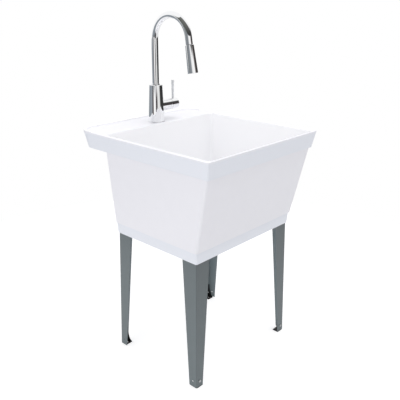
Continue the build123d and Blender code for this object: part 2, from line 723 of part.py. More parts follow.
def coupling_nut():
    """Union nut that draws the tailpiece up against the waste."""
    lip_under = tail_top() - TAIL_LIP_HEIGHT
    z0 = lip_under - COUPLING_FLOOR
    z1 = z0 + COUPLING_HEIGHT
    nut = rod(COUPLING_WIDTH, z0, z1)
    nut = chamfer(nut.edges().filter_by(GeomType.CIRCLE), COUPLING_EDGE)
    depth, width = COUPLING_GRIP
    for turn in range(0, 360, 45):
        grip = Box(depth, width, COUPLING_HEIGHT - 3 * COUPLING_EDGE)
        nut += Rot(0, 0, turn) * Pos(COUPLING_WIDTH / 2, 0, (z0 + z1) / 2) * grip
    nut -= rod(DRAIN_TUBE + 2 * THREAD_FIT, lip_under, z1 + EPS)
    nut -= rod(TAIL_DIAMETER + 2 * COUPLING_ROOM, z0 - EPS, z1 + EPS)
    return on_drain(nut)


def stopper():
    """Rubber plug: taper, cap and a waisted knob to lift it by."""
    top = FLANGE_SEAT + DRAIN_FLANGE_THICKNESS
    room = SEAT_GAP
    taper = cone(
        DRAIN_BORE - 2 * room, PLUG_TOP - 2 * room, top - PLUG_HEIGHT + room, top + room
    )
    cap_width = PLUG_TOP + 2 * PLUG_RIM
    cap = rod(cap_width, top + room, top + room + PLUG_CAP)
    cap = fillet(cap.edges().sort_by(Axis.Z)[-1], PLUG_CAP * 0.6)
    z = top + room + PLUG_CAP
    profile = [
        Line((0, z), (PLUG_KNOB * 0.32, z)),
        ThreePointArc(
            (PLUG_KNOB * 0.32, z),
            (PLUG_KNOB * 0.26, z + PLUG_KNOB_HEIGHT * 0.3),
            (PLUG_KNOB * 0.5, z + PLUG_KNOB_HEIGHT * 0.6),
        ),
        ThreePointArc(
            (PLUG_KNOB * 0.5, z + PLUG_KNOB_HEIGHT * 0.6),
            (PLUG_KNOB * 0.42, z + PLUG_KNOB_HEIGHT * 0.9),
            (PLUG_KNOB * 0.2, z + PLUG_KNOB_HEIGHT),
        ),
        Line((PLUG_KNOB * 0.2, z + PLUG_KNOB_HEIGHT), (0, z + PLUG_KNOB_HEIGHT)),
        Line((0, z + PLUG_KNOB_HEIGHT), (0, z)),
    ]
    knob = revolve(Plane.XZ * make_face(Curve() + profile), Axis.Z)
    return on_drain(taper + cap + knob)


# ---------------------------------------------------------------- tap body
BODY_Z = RIM_HEIGHT + BASE_RING_HEIGHT
BODY_TOP_Z = BODY_Z + BODY_HEIGHT
BARREL_Z = RIM_HEIGHT + BARREL_HEIGHT
SPOUT_FOOT_Z = BODY_TOP_Z - SPOUT_DEPTH
INSERT_FOOT_Z = SPOUT_FOOT_Z - INSERT_HEIGHT
BUSH_BORE = SPOUT_TUBE + 2 * RUNNING_FIT
BODY_BORE = BUSH_BORE + 2 * BUSH_WALL
SPHERE = math.hypot(SEAM_OUT - PIVOT_OUT, BARREL / 2)
CARTRIDGE = BARREL - 2 * BARREL_WALL
INLET_SOCKET_Z = BODY_Z + SHANK_GRIP     # where the inlets enter the body
PORT_DROP = math.sqrt(PORT_CIRCLE ** 2 - (INLET_SPREAD / 2) ** 2)
CHAMBER_Z = BARREL_Z + PORT_CIRCLE - PORT / 2 - EPS   # floor of the room under the spout's foot
LEVER_FOOT_Z = BARREL_Z + BARREL / 2
STUD_FOOT_Z = LEVER_FOOT_Z - LEVER_STUD_LENGTH


def on_tap(shape):
    return at(0, TAP_BACK, shape)


def on_barrel(shape):
    """Shape built along +Z from the tap's axis, laid along +X on the barrel's axis."""
    return Pos(0, TAP_BACK, BARREL_Z) * Rot(0, 90, 0) * shape


def inlet_ports():
    """Hot and cold ports in the cartridge's floor, level with the inlets."""
    return [(PORT_DROP, side * INLET_SPREAD / 2) for side in (-1, 1)]


def outlet_port():
    return (-PORT_CIRCLE, 0)


def tap_body():
    body = cone(BODY_FOOT, BODY_TOP, BODY_Z, BODY_TOP_Z)
    body = chamfer(body.edges().sort_by(Axis.Z)[-1], BODY_EDGE)
    body = on_tap(body) + on_barrel(rod(BARREL, 0, BARREL_OUT))
    body -= on_tap(rod(BODY_BORE, CHAMBER_Z, BODY_TOP_Z + EPS))
    body -= on_tap(rod(SHANK_DIAMETER + 2 * THREAD_FIT, BODY_Z - EPS, INLET_SOCKET_Z))
    body -= on_barrel(rod(CARTRIDGE, BARREL_FLOOR, BARREL_OUT + EPS))
    for px, py in inlet_ports():
        socket = rod(
            INLET_DIAMETER + 2 * THREAD_FIT, INLET_SOCKET_Z - EPS, INLET_SOCKET_Z + INLET_GRIP
        )
        rise = rod(PORT, INLET_SOCKET_Z, BARREL_Z - px + PORT / 2)
        body -= at(0, TAP_BACK + py, socket + rise)
        body -= on_barrel(at(px, py, rod(PORT, -PORT / 2, BARREL_FLOOR + EPS)))
    outlet = rod(PORT, BODY_BORE / 2 - EPS, BARREL_FLOOR + EPS)
    return body - on_barrel(at(*outlet_port(), outlet))


def base_ring():
    ring = tube(BASE_RING, SHANK_DIAMETER + 2 * SEAT_GAP, RIM_HEIGHT, BODY_Z)
    ring = chamfer(ring.edges().group_by(Axis.Z)[-1].sort_by(SortBy.RADIUS)[-1], RING_EDGE)
    room = 2 * SEAT_GAP
    groove = tube(
        SEAL_OUTER + room, SEAL_INNER - room, RIM_HEIGHT - EPS, RIM_HEIGHT + SEAL_HEIGHT
    )
    return on_tap(ring - groove)


def base_seal():
    return on_tap(tube(SEAL_OUTER, SEAL_INNER, RIM_HEIGHT, RIM_HEIGHT + SEAL_HEIGHT))


def shank():
    z0 = RIM_HEIGHT - SHANK_LENGTH
    return on_tap(tube(SHANK_DIAMETER, SHANK_BORE, z0, INLET_SOCKET_Z))


def rubber_washer():
    z1 = DECK_UNDER
    return on_tap(tube(MOUNT_WASHER, SHANK_DIAMETER + 2 * SEAT_GAP, z1 - RUBBER_WASHER, z1))


def steel_washer():
    z1 = DECK_UNDER - RUBBER_WASHER
    return on_tap(tube(MOUNT_WASHER, SHANK_DIAMETER + 2 * SEAT_GAP, z1 - STEEL_WASHER, z1))


def mount_nut():
    z1 = DECK_UNDER - RUBBER_WASHER - STEEL_WASHER
    nut = hex_nut(MOUNT_NUT_WIDTH, SHANK_DIAMETER + 2 * THREAD_FIT, z1 - MOUNT_NUT_HEIGHT, z1)
    return on_tap(nut)


def inlet(end):
    """Hot or cold inlet tail: copper tube with a threaded end below the shank."""
    z0 = RIM_HEIGHT - SHANK_LENGTH
    z1 = INLET_SOCKET_Z + INLET_GRIP
    tail = tube(INLET_DIAMETER, INLET_BORE, z0 - INLET_TAIL, z1)
    thread = tube(INLET_DIAMETER + INLET_COLLAR, INLET_BORE, z0 - INLET_TAIL, z0 - SEAT_GAP)
    return at(0, TAP_BACK + end * INLET_SPREAD / 2, tail + thread)


# ---------------------------------------------------------------- spout
ARC_Z = BODY_TOP_Z + SPOUT_RISE
ARC_Y = TAP_BACK - SPOUT_RADIUS


def spout_path():
    rise = Line((TAP_BACK, SPOUT_FOOT_Z), (TAP_BACK, ARC_Z))
    arc = CenterArc((ARC_Y, ARC_Z), SPOUT_RADIUS, 0, SPOUT_SWEEP)
    drop = Line(arc @ 1, (arc @ 1) + (arc % 1) * SPOUT_END)
    return Plane.YZ * (rise + arc + drop)


TILT = SPOUT_SWEEP - 180.0   # of the spout's end, from straight down
END_Y = ARC_Y + SPOUT_RADIUS * math.cos(math.radians(SPOUT_SWEEP))
END_Y -= SPOUT_END * math.sin(math.radians(SPOUT_SWEEP))
END_Z = ARC_Z + SPOUT_RADIUS * math.sin(math.radians(SPOUT_SWEEP))
END_Z += SPOUT_END * math.cos(math.radians(SPOUT_SWEEP))


def on_spout_end(shape):
    """Shape built downwards from z = 0, hung from the middle of the spout's end."""
    return Pos(0, END_Y, END_Z) * Rot(TILT, 0, 0) * shape


def swept(diameter):
    start = Plane(origin=(0, TAP_BACK, SPOUT_FOOT_Z), z_dir=(0, 0, 1))
    return sweep(start * Circle(diameter / 2), path=spout_path())


def spout():
    return swept(SPOUT_TUBE) - swept(SPOUT_TUBE - 2 * SPOUT_WALL)


def swivel_ring():
    z = BODY_TOP_Z
    ring = tube(SWIVEL_RING, SPOUT_TUBE + 2 * SEAT_GAP, z, z + SWIVEL_RING_HEIGHT)
    return on_tap(chamfer(ring.edges().group_by(Axis.Z)[-1].sort_by(SortBy.RADIUS)[-1], RING_EDGE))


def swivel_bush():
    """Bush pressed into the body; its foot keeps the spout's brass foot down."""
    return on_tap(tube(BODY_BORE, BUSH_BORE, SPOUT_FOOT_Z + SEAT_GAP, BODY_TOP_Z))


def spout_insert():
    """Brass foot brazed into the tube, with two ring grooves."""
    grip = SPOUT_TUBE - 2 * SPOUT_WALL
    turned = BODY_BORE - 2 * INSERT_ROOM
    foot = rod(turned, INSERT_FOOT_Z, SPOUT_FOOT_Z)
    foot += rod(grip, SPOUT_FOOT_Z, SPOUT_FOOT_Z + INSERT_GRIP)
    foot -= rod(INSERT_BORE, INSERT_FOOT_Z - EPS, SPOUT_FOOT_Z + INSERT_GRIP + EPS)
    for z in oring_places():
        floor = BODY_BORE - 2 * ORING - 4 * RUNNING_FIT
        half = ORING / 2 + INSERT_ROOM
        foot -= tube(turned + EPS, floor, z - half, z + half)
    return on_tap(foot)


def oring_places():
    middle = INSERT_FOOT_Z + INSERT_HEIGHT / 2
    return middle - ORING_PITCH / 2, middle + ORING_PITCH / 2


def spout_orings():
    radius = BODY_BORE / 2 - RUNNING_FIT - ORING / 2
    rings = [on_tap(Pos(0, 0, z) * Torus(radius, ORING / 2)) for z in oring_places()]
    return Compound(children=rings)


# ---------------------------------------------------------------- spray head
CORE_TOP = HEAD_ROOF + NECK_FLANGE
FACE_Z = HEAD_LENGTH - FACE_RECESS - FACE_THICKNESS


def docking_collar():
    """Plastic collar in the spout's end that the head's cone seats in."""
    width = SPOUT_TUBE - 2 * SPOUT_WALL
    collar = rod(width, 0, COLLAR_LENGTH) - rod(COLLAR_BORE, -EPS, COLLAR_LENGTH + EPS)
    return on_spout_end(collar)


def hang(shape):
    """Turn a shape built upwards so that it hangs from the joint under the spout."""
    return on_spout_end(Pos(0, 0, -HEAD_JOINT) * Rot(180, 0, 0) * shape)


def head_shell():
    shell = cone(HEAD_TOP, HEAD_FOOT, 0, HEAD_LENGTH)
    shell = fillet(shell.edges().sort_by(Axis.Z)[0], HEAD_EDGE_TOP)
    shell = fillet(shell.edges().sort_by(Axis.Z)[-1], HEAD_EDGE_FOOT)
    room = cone(head_bore(HEAD_ROOF), head_bore(HEAD_LENGTH + EPS), HEAD_ROOF, HEAD_LENGTH + EPS)
    mouth = rod(HEAD_NECK_WIDTH - 2 * NECK_STEP, -EPS, HEAD_ROOF + EPS)
    return hang(shell - room - mouth)


def docking_cone():
    """Neck of the head: it stands up into the collar and holds the hose."""
    neck = rod(HEAD_NECK_WIDTH, -HEAD_NECK, 0)
    neck = chamfer(neck.edges().sort_by(Axis.Z)[0], HEAD_EDGE_TOP)
    neck += rod(HEAD_NECK_WIDTH - 2 * NECK_STEP - 2 * THREAD_FIT, -EPS, HEAD_ROOF)
    neck += rod(CORE_WIDTH, HEAD_ROOF, CORE_TOP)
    return hang(neck - rod(HOSE_DIAMETER + 2 * THREAD_FIT, -HEAD_NECK - EPS, CORE_TOP + EPS))


def hose():
    """The stretch of spray hose inside the head's neck and the spout's end."""
    return hang(tube(HOSE_DIAMETER, HOSE_BORE, -HEAD_NECK - HOSE_REACH, CORE_TOP))


def water_core():
    """Water guide between the neck and the spray face."""
    core = rod(CORE_WIDTH, CORE_TOP, CORE_TOP + CORE_LENGTH)
    core += rod(CORE_WIDTH + CORE_STEP, CORE_TOP + CORE_LENGTH, FACE_Z - NOZZLE_SHEET)
    return hang(core - rod(HOSE_BORE, CORE_TOP - EPS, FACE_Z))


def spray_face():
    room = 2 * THREAD_FIT
    top, foot = FACE_Z, FACE_Z + FACE_THICKNESS
    face = cone(head_bore(top) - room, head_bore(foot) - room, top, foot)
    for place in nozzle_places():
        face -= place * rod(NOZZLE + room, top - EPS, foot + EPS)
    return hang(face)


def head_bore(z):
    """Inner diameter of the head's shell at depth z."""
    return HEAD_TOP + (HEAD_FOOT - HEAD_TOP) * z / HEAD_LENGTH - 2 * HEAD_WALL


def nozzle_places():
    for count, radius in NOZZLE_RINGS:
        for index in range(count):
            yield Rot(0, 0, 360.0 * index / count) * Pos(radius, 0, 0)


def nozzles():
    """Rubber nozzles on one thin sheet behind the face."""
    z0, z1 = FACE_Z - NOZZLE_SHEET, FACE_Z + FACE_THICKNESS + NOZZLE_HEIGHT
    sheet = rod(NOZZLE_SHEET_WIDTH, z0, FACE_Z)
    for place in nozzle_places():
        sheet += place * rod(NOZZLE, FACE_Z - EPS / 2, z1)
    for place in nozzle_places():
        sheet -= place * rod(NOZZLE / 2, z0 - EPS, z1 + EPS)
    return hang(sheet)


# ---------------------------------------------------------------- mixer
def pivot_ball(radius):
    return Pos(0, 0, PIVOT_OUT) * Sphere(radius)


def dome():
    """Ring on the end of the barrel, turned to a ball so the hub can rock on it."""
    ball = pivot_ball(SPHERE)
    blank = rod(BARREL, BARREL_OUT, PIVOT_OUT + SPHERE) & ball
    inside = rod(CARTRIDGE - 2 * EPS, BARREL_OUT - EPS, HUB_OUT)
    spigot = rod(CARTRIDGE - 2 * THREAD_FIT, BARREL_OUT - DOME_SPIGOT, BARREL_OUT)
    body = blank + spigot - (pivot_ball(SPHERE - DOME_WALL) & inside)
    return on_barrel(body - rod(DOME_MOUTH, 0, HUB_OUT))


def cartridge():
    """Mixing cartridge: housing with a round room for the rotor and three ports."""
    z0, z1 = BARREL_FLOOR, BARREL_FLOOR + CARTRIDGE_LENGTH
    body = rod(CARTRIDGE - 2 * THREAD_FIT, z0, z1)
    body -= rod(ROTOR + 2 * RUNNING_FIT, z0 + ROTOR_FLOOR, z1 + EPS)
    for px, py in [*inlet_ports(), outlet_port()]:
        body -= at(px, py, rod(PORT, z0 - EPS, z0 + ROTOR_FLOOR + EPS))
    return on_barrel(body)


def ceramic_disc():
    """Disc under the rotor that opens the ports."""
    z0 = BARREL_FLOOR + ROTOR_FLOOR
    disc = rod(ROTOR, z0, z0 + DISC)
    for px, py in [*inlet_ports(), outlet_port()]:
        disc -= at(px, py, rod(DISC_PORT, z0 - EPS, z0 + DISC + EPS))
    return on_barrel(disc)


def rotor():
    """Turning stem carrier: slotted so that the stem can rock in it."""
    z0 = BARREL_FLOOR + ROTOR_FLOOR + DISC + RUNNING_FIT
    z1 = BARREL_FLOOR + CARTRIDGE_LENGTH + ROTOR_STANDOUT
    body = rod(ROTOR - 2 * RUNNING_FIT, z0, z1)
    slot_floor = PIVOT_OUT - STEM_BACK - STEM_ROOM
    slot = Box(2 * STEM_SWING, STEM + 2 * SEAM, z1 - slot_floor + EPS)
    body -= Pos(0, 0, (z1 + slot_floor + EPS) / 2) * slot
    pin = Cylinder(PIVOT_PIN / 2 + RUNNING_FIT, ROTOR)
    return on_barrel(body - Pos(0, 0, PIVOT_OUT) * Rot(90, 0, 0) * pin)


def pivot_pin():
    pin = Cylinder(PIVOT_PIN / 2, ROTOR - 4 * EPS)
    return on_barrel(Pos(0, 0, PIVOT_OUT) * Rot(90, 0, 0) * pin)


def bonnet():
    """Ring nut that holds the cartridge down in the barrel."""
    z0 = BARREL_FLOOR + CARTRIDGE_LENGTH
    z1 = z0 + BONNET_HEIGHT
    ring = tube(CARTRIDGE - 2 * THREAD_FIT, ROTOR + 2 * SEAT_GAP, z0, z1)
    for turn in range(0, 360, 90):
        notch = Pos(CARTRIDGE / 2, 0, z1) * Box(*BONNET_NOTCH)
        ring -= Rot(0, 0, turn) * notch
    return on_barrel(ring)


def stem():
    """Square stem, from behind the pivot out into the hub."""
    z0, z1 = PIVOT_OUT - STEM_BACK, PIVOT_OUT + STEM_REACH
    bar = Pos(0, 0, (z0 + z1) / 2) * Box(STEM, STEM, z1 - z0)
    bar = chamfer(bar.edges().filter_by(Axis.Z), STEM_EDGE)
    pin = Cylinder(PIVOT_PIN / 2 + RUNNING_FIT, STEM + 2 * EPS)
    return on_barrel(bar - Pos(0, 0, PIVOT_OUT) * Rot(90, 0, 0) * pin)


def hub():
    body = rod(BARREL, PIVOT_OUT, HUB_OUT)
    body = fillet(body.edges().sort_by(Axis.Z)[-1], HUB_EDGE)
    body -= pivot_ball(SPHERE + SEAM)
    body -= rod(BARREL + 2 * EPS, 0, SEAM_OUT + SEAM)
    socket_end = PIVOT_OUT + STEM_REACH + SEAT_GAP
    side = STEM + 2 * THREAD_FIT
    body -= Pos(0, 0, (PIVOT_OUT + socket_end) / 2) * Box(side, side, socket_end - PIVOT_OUT)
    placed = on_barrel(body)
    stud = rod(LEVER_STUD + 2 * THREAD_FIT, STUD_FOOT_Z, LEVER_FOOT_Z + EPS)
    placed -= at(LEVER_OUT, TAP_BACK, stud)
    drill = rod(SET_SCREW + 2 * THREAD_FIT, BARREL_Z - BARREL, BARREL_Z)
    return placed - at(LEVER_OUT, TAP_BACK, drill)


def lever():
    """Flat blade, a little wider at its top, on a stud screwed into the hub."""
    sections = []
    for z, width in ((0, LEVER_FOOT_WIDTH), (LEVER_HEIGHT, LEVER_TOP_WIDTH)):
        section = Rectangle(LEVER_THICKNESS, width)
        section = fillet(section.vertices(), LEVER_EDGE)
        sections.append(Pos(0, 0, LEVER_FOOT_Z + z) * section)
    blade = loft(sections, ruled=True)
    blade = fillet(blade.faces().sort_by(Axis.Z)[-1].edges(), LEVER_EDGE / 2)
    stud = rod(LEVER_STUD, STUD_FOOT_Z + SEAT_GAP, LEVER_FOOT_Z + EPS)
    return at(LEVER_OUT, TAP_BACK, blade + stud)


def set_screw():
    """Grub screw under the hub that holds it on the stem."""
    z1 = BARREL_Z - STEM / 2 - THREAD_FIT
    screw = rod(SET_SCREW, z1 - SET_SCREW_LENGTH, z1)
    key = extrude(RegularPolygon(SET_SCREW_KEY, 6), SET_SCREW_KEY_DEPTH + EPS)
    key = Pos(0, 0, z1 - SET_SCREW_LENGTH - EPS) * key
    return at(LEVER_OUT, TAP_BACK, screw - key)


# ---------------------------------------------------------------- all sub-parts
NODES = {
    "tub": tub,
    "leg_screws": lambda: corners(top_screw),
    "foot_screws": lambda: corners(foot_screw),
    "foot_nuts": lambda: corners(foot_nut),
    "drain_body": drain_body,
    "drain_upper_gasket": drain_upper_gasket,
    "drain_lower_gasket": drain_lower_gasket,
    "drain_locknut": drain_locknut,
    "tailpiece_washer": slip_washer,
    "tailpiece": tailpiece,
    "tailpiece_nut": coupling_nut,
    "drain_stopper": stopper,
    "tap_body": tap_body,
    "tap_base_ring": base_ring,
    "tap_base_seal": base_seal,
    "tap_shank": shank,
    "tap_rubber_washer": rubber_washer,
    "tap_steel_washer": steel_washer,
    "tap_mounting_nut": mount_nut,
    "hot_inlet": lambda: inlet(-1),
    "cold_inlet": lambda: inlet(1),
    "spout": spout,
    "swivel_ring": swivel_ring,
    "swivel_bush": swivel_bush,
    "spout_insert": spout_insert,
    "spout_orings": spout_orings,
    "docking_collar": docking_collar,
    "spray_head_shell": head_shell,
    "spray_docking_cone": docking_cone,
    "spray_hose": hose,
    "spray_water_core": water_core,
    "spray_face": spray_face,
    "spray_nozzles": nozzles,
    "handle_dome": dome,
    "mixer_cartridge": cartridge,
    "mixer_disc": ceramic_disc,
    "mixer_rotor": rotor,
    "mixer_pivot_pin": pivot_pin,
    "mixer_bonnet": bonnet,
    "mixer_stem": stem,
    "handle_hub": hub,
    "handle_lever": lever,
    "handle_set_screw": set_screw,
}

for end, row in ((-1, "front"), (1, "back")):
    for side, hand in ((-1, "left"), (1, "right")):
        save(f"leg_{row}_{hand}", leg(side, end))
        save(f"foot_bracket_{row}_{hand}", foot_bracket(side, end))

for node, maker in NODES.items():
    save(node, maker())
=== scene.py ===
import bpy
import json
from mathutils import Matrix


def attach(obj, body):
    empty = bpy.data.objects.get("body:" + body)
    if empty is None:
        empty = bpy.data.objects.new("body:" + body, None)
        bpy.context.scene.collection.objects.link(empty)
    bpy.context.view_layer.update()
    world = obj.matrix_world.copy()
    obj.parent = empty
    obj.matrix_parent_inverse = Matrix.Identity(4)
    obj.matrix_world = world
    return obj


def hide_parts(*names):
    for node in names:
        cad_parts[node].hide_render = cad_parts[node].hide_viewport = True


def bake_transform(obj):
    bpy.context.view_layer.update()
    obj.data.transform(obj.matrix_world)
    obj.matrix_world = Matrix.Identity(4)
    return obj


bl_info = {
    "name": "Utility Laundry Sink",
    "version": (1, 0, 0),
    "blender": (4, 5, 0),
    "location": "View3D > Sidebar > Laundry Sink",
    "description": "Dresses a moulded laundry tub, its steel legs and its gooseneck tap",
    "category": "Object",
}

import json
import math

import bpy
from bpy.props import FloatProperty, FloatVectorProperty, IntProperty, PointerProperty
from mathutils import Matrix, Vector

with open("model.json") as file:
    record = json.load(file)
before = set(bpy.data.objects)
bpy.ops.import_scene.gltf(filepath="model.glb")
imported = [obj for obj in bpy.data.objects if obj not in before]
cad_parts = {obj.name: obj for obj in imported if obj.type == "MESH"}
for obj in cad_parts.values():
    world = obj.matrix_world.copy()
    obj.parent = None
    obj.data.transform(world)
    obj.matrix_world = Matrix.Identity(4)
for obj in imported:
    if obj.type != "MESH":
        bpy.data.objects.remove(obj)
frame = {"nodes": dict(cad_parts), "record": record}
NODES = frame["nodes"]
BODY_OF = {node: body for body, nodes in frame["record"]["behaviour"]["bodies"].items() for node in nodes}
SLOT_OF = {part["node"]: part["material_slot"] for part in frame["record"]["subparts"]}
MM = 0.001

# Places and sizes of the CAD part that the dressing follows, in metres
RIM_Z = 0.851                         # top of the rim and of the deck
BASIN_DEPTH = 0.323                   # rim to the basin's floor
BASIN_SIDE, SIDE_LEAN = 0.277, 0.017  # inner side faces from the middle at the rim, and how far they lean in
BASIN_FRONT, FRONT_LEAN = 0.3135, 0.070
BASIN_BACK, BACK_LEAN = 0.1795, 0.021
BASIN_FLOOR_Z = 0.525                 # just under the basin's floor
BAND_Z = (0.790, 0.846)               # outer band under the rim, foot and top
SKIRT_Z = 0.524                       # top of the lower band
RIDGE_Z = 0.8515                      # foot of the ridge along the deck's back edge
LEG_TOP_Z = 0.48
TAP = (0.0, 0.2135)                   # the tap's axis
BARREL_Z = 0.910                      # the side barrel's axis
ARC_CENTRE = (0.1265, 1.1565)         # gooseneck's centre, y and z
ARC_SWEEP = 170.0
ARC_STEPS = 128
SPOUT_FOOT_Z = 0.942
SPOUT_DROP = 0.026                    # straight tube after the arc
SPOUT_END = Vector((0.0, 0.036307, 1.146002))
END_TILT = -10.0                      # of the spout's end, from straight down
HEAD_JOINT = 0.0008                   # between the spout and the spray head
HOSE_SEAT = 0.007                     # foot of the hose, under the top of the spray head
HOSE_STRETCH = 0.020                  # hose inside the spout's end, cut into many short rings
HOSE_SWEEP = 60.0                     # hose that is shown inside the gooseneck's arc

BEHIND = 47.5                         # compass angle that the studio's panels are counted from
CAMERA_PLACE = (-1.4385, -1.3552, 1.2970)
CAMERA_TURN = (70.076, -0.173, -46.998)


# ------------------------------------------------------------------ settings
def length(name, description, default):
    """A size that a user may change, in metres."""
    return FloatProperty(
        name=name, description=description, default=default, subtype="DISTANCE", unit="LENGTH"
    )


def share(name, description, default):
    """A value between 0 and 1."""
    return FloatProperty(
        name=name, description=description, default=default, min=0.0, max=1.0, subtype="FACTOR"
    )


def colour(name, description, default):
    """A colour, as red, green and blue in linear light."""
    return FloatVectorProperty(
        name=name, description=description, default=default, size=3, min=0.0, max=1.0, subtype="COLOR"
    )


class SinkTubSettings(bpy.types.PropertyGroup):
    plastic: colour("Plastic", "Colour of the moulded tub", (0.83, 0.828, 0.872))
    # Inside: the basin's inner faces and the deck's ridge are painted paler than the plastic, as painted
    # light
    inside: colour("Inside", "Colour of the polished faces inside the basin", (0.95, 0.95, 0.965))
    gloss: share("Roughness", "Roughness of the moulded skin", 0.34)
    grain: length("Skin grain", "Size of the fine grain of the moulding", 0.0011)
    ripple: length("Ripple", "Size of the slow waves in a large moulded wall", 0.11)
    edge: length("Edge rounding", "Rounding of the tub's small edges", 0.0012)


class SinkLegSettings(bpy.types.PropertyGroup):
    paint: colour("Paint", "Grey paint of the four legs", (0.148, 0.178, 0.188))
    gloss: share("Roughness", "Roughness of the paint", 0.36)
    bracket: colour("Bracket paint", "Black paint of the floor brackets", (0.012, 0.012, 0.013))
    screw: colour("Screw steel", "Zinc-plated screws and nuts", (0.74, 0.75, 0.75))
    edge: length("Sheet edge", "Rounding of the cut edges of the sheet steel", 0.0003)


class SinkTapSettings(bpy.types.PropertyGroup):
    chrome: colour("Chrome", "Reflection colour of the chrome plating", (0.93, 0.935, 0.945))
    polish: share("Roughness", "Roughness of the chrome plating", 0.03)
    satin: colour("Satin chrome", "Colour of the brushed lever", (0.87, 0.88, 0.90))
    brass: colour("Brass", "Colour of the brass pieces", (0.68, 0.49, 0.24))
    copper: colour("Copper", "Colour of the inlet tubes", (0.76, 0.42, 0.28))
    rounds: IntProperty(
        name="Segments", description="Facets round a turned piece", default=96, min=24, max=256
    )
    tube: length("Spout tube", "Outside diameter of the spout's tube", 0.0254)
    tube_wall: length("Tube wall", "Thickness of the spout's tube", 0.0012)
    hose: length("Hose", "Outside diameter of the spray hose", 0.012)


class SinkStageSettings(bpy.types.PropertyGroup):
    floor: length("Floor", "Radius of the pale floor", 1.7)
    key: FloatProperty(
        name="Key light", description="Power of the soft light at the left", default=19.5, unit="POWER"
    )
    top: FloatProperty(
        name="Top light", description="Power of the soft light overhead", default=32.5, unit="POWER"
    )
    sky: FloatProperty(name="Surround", description="Strength of the even surrounding light", default=0.80)


# ------------------------------------------------------------------ shader maths
class Value:
    """A shader socket that takes part in ordinary arithmetic."""

    def __init__(self, finish, socket):
        self.finish = finish
        self.socket = socket

    def _math(self, operation, *terms):
        return self.finish.node("ShaderNodeMath", {"operation": operation}, *terms)

    def __add__(self, other):
        return self._math("ADD", self, other)

    __radd__ = __add__

    def __sub__(self, other):
        return self._math("SUBTRACT", self, other)

    def __rsub__(self, other):
        return self._math("SUBTRACT", other, self)

    def __mul__(self, other):
        return self._math("MULTIPLY", self, other)

    __rmul__ = __mul__

    def __truediv__(self, other):
        return self._math("DIVIDE", self, other)

    def clamped(self):
        return self._math("MINIMUM", self._math("MAXIMUM", self, 0.0), 1.0)

    def over(self, limit, softness):
        """0 below the limit and 1 above it, over a soft step."""
        return ((self - limit) / softness + 0.5).clamped()


class Finish:
    """One material, or the world, built node by node."""

    def __init__(self, name, tree=None):
        if tree is None:
            self.material = bpy.data.materials.new(name)
            self.material.use_nodes = True
            tree = self.material.node_tree
        self.tree = tree
        self.tree.nodes.clear()

    def node(self, kind, settings=None, *values, out=0, **named):
        """Add one node: its settings first, then the values or links of its sockets."""
        made = self.tree.nodes.new(kind)
        for key, value in (settings or {}).items():
            if key == "stops":
                self._stops(made.color_ramp, value)
            else:
                setattr(made, key, value)
        pairs = list(zip(made.inputs, values))
        pairs += [(made.inputs[key.replace("_", " ")], value) for key, value in named.items()]
        for socket, value in pairs:
            if isinstance(value, Value):
                self.tree.links.new(value.socket, socket)
            elif value is not None:
                socket.default_value = value
        return Value(self, made.outputs[out]) if len(made.outputs) else None

    @staticmethod
    def _stops(ramp, stops):
        while len(ramp.elements) < len(stops):
            ramp.elements.new(1.0)
        for element, (place, tone) in zip(ramp.elements, stops):
            element.position = place
            element.color = (*tone, 1.0) if isinstance(tone, tuple) else (tone, tone, tone, 1.0)

    def place(self, scale=None, turn=None, shift=None):
        """Position on the piece, in metres, stretched, turned or shifted where asked."""
        where = self.node("ShaderNodeTexCoord", out="Object")
        if scale or turn or shift:
            where = self.node(
                "ShaderNodeMapping", {"vector_type": "POINT"}, where,
                Scale=scale or (1, 1, 1), Rotation=turn or (0, 0, 0), Location=shift or (0, 0, 0),
            )
        return where

    def axes(self, vector=None):
        """The three parts of a vector, or of the position on the piece, in metres."""
        parts = self.node("ShaderNodeSeparateXYZ", None, vector or self.place()).socket.node
        return [Value(self, part) for part in parts.outputs]

    def noise(self, size, detail=3.0, rough=0.5, scale=None):
        """Noise whose features are about size metres across."""
        return self.node(
            "ShaderNodeTexNoise", None,
            Vector=self.place(scale), Scale=1.0 / size, Detail=detail, Roughness=rough,
        )

    def ramp(self, factor, *stops):
        return self.node("ShaderNodeValToRGB", {"stops": stops}, factor)

    def mixed(self, factor, one, two):
        """Colour between one and two."""
        made = self.tree.nodes.new("ShaderNodeMix")
        made.data_type = "RGBA"
        for socket, value in ((made.inputs[0], factor), (made.inputs[6], one), (made.inputs[7], two)):
            if isinstance(value, Value):
                self.tree.links.new(value.socket, socket)
            else:
                socket.default_value = value if isinstance(value, float) else (*value[:3], 1.0)
        return Value(self, made.outputs[2])

    def bump(self, height, strength, distance, under=None):
        return self.node(
            "ShaderNodeBump", None, Height=height, Strength=strength, Distance=distance, Normal=under
        )

    def surface(self, **sockets):
        """Close the tree with a Principled shader."""
        shader = self.node("ShaderNodeBsdfPrincipled")
        for key, value in sockets.items():
            socket = shader.socket.node.inputs[key.replace("_", " ")]
            if isinstance(value, Value):
                self.tree.links.new(value.socket, socket)
            else:
                socket.default_value = (*value[:3], 1.0) if hasattr(value, "__len__") else value
        self.node("ShaderNodeOutputMaterial", None, Surface=shader)
        return self.material


def tinted(base, factor):
    """A colour made lighter or darker."""
    return tuple(min(1.0, max(0.0, c * factor)) for c in base)


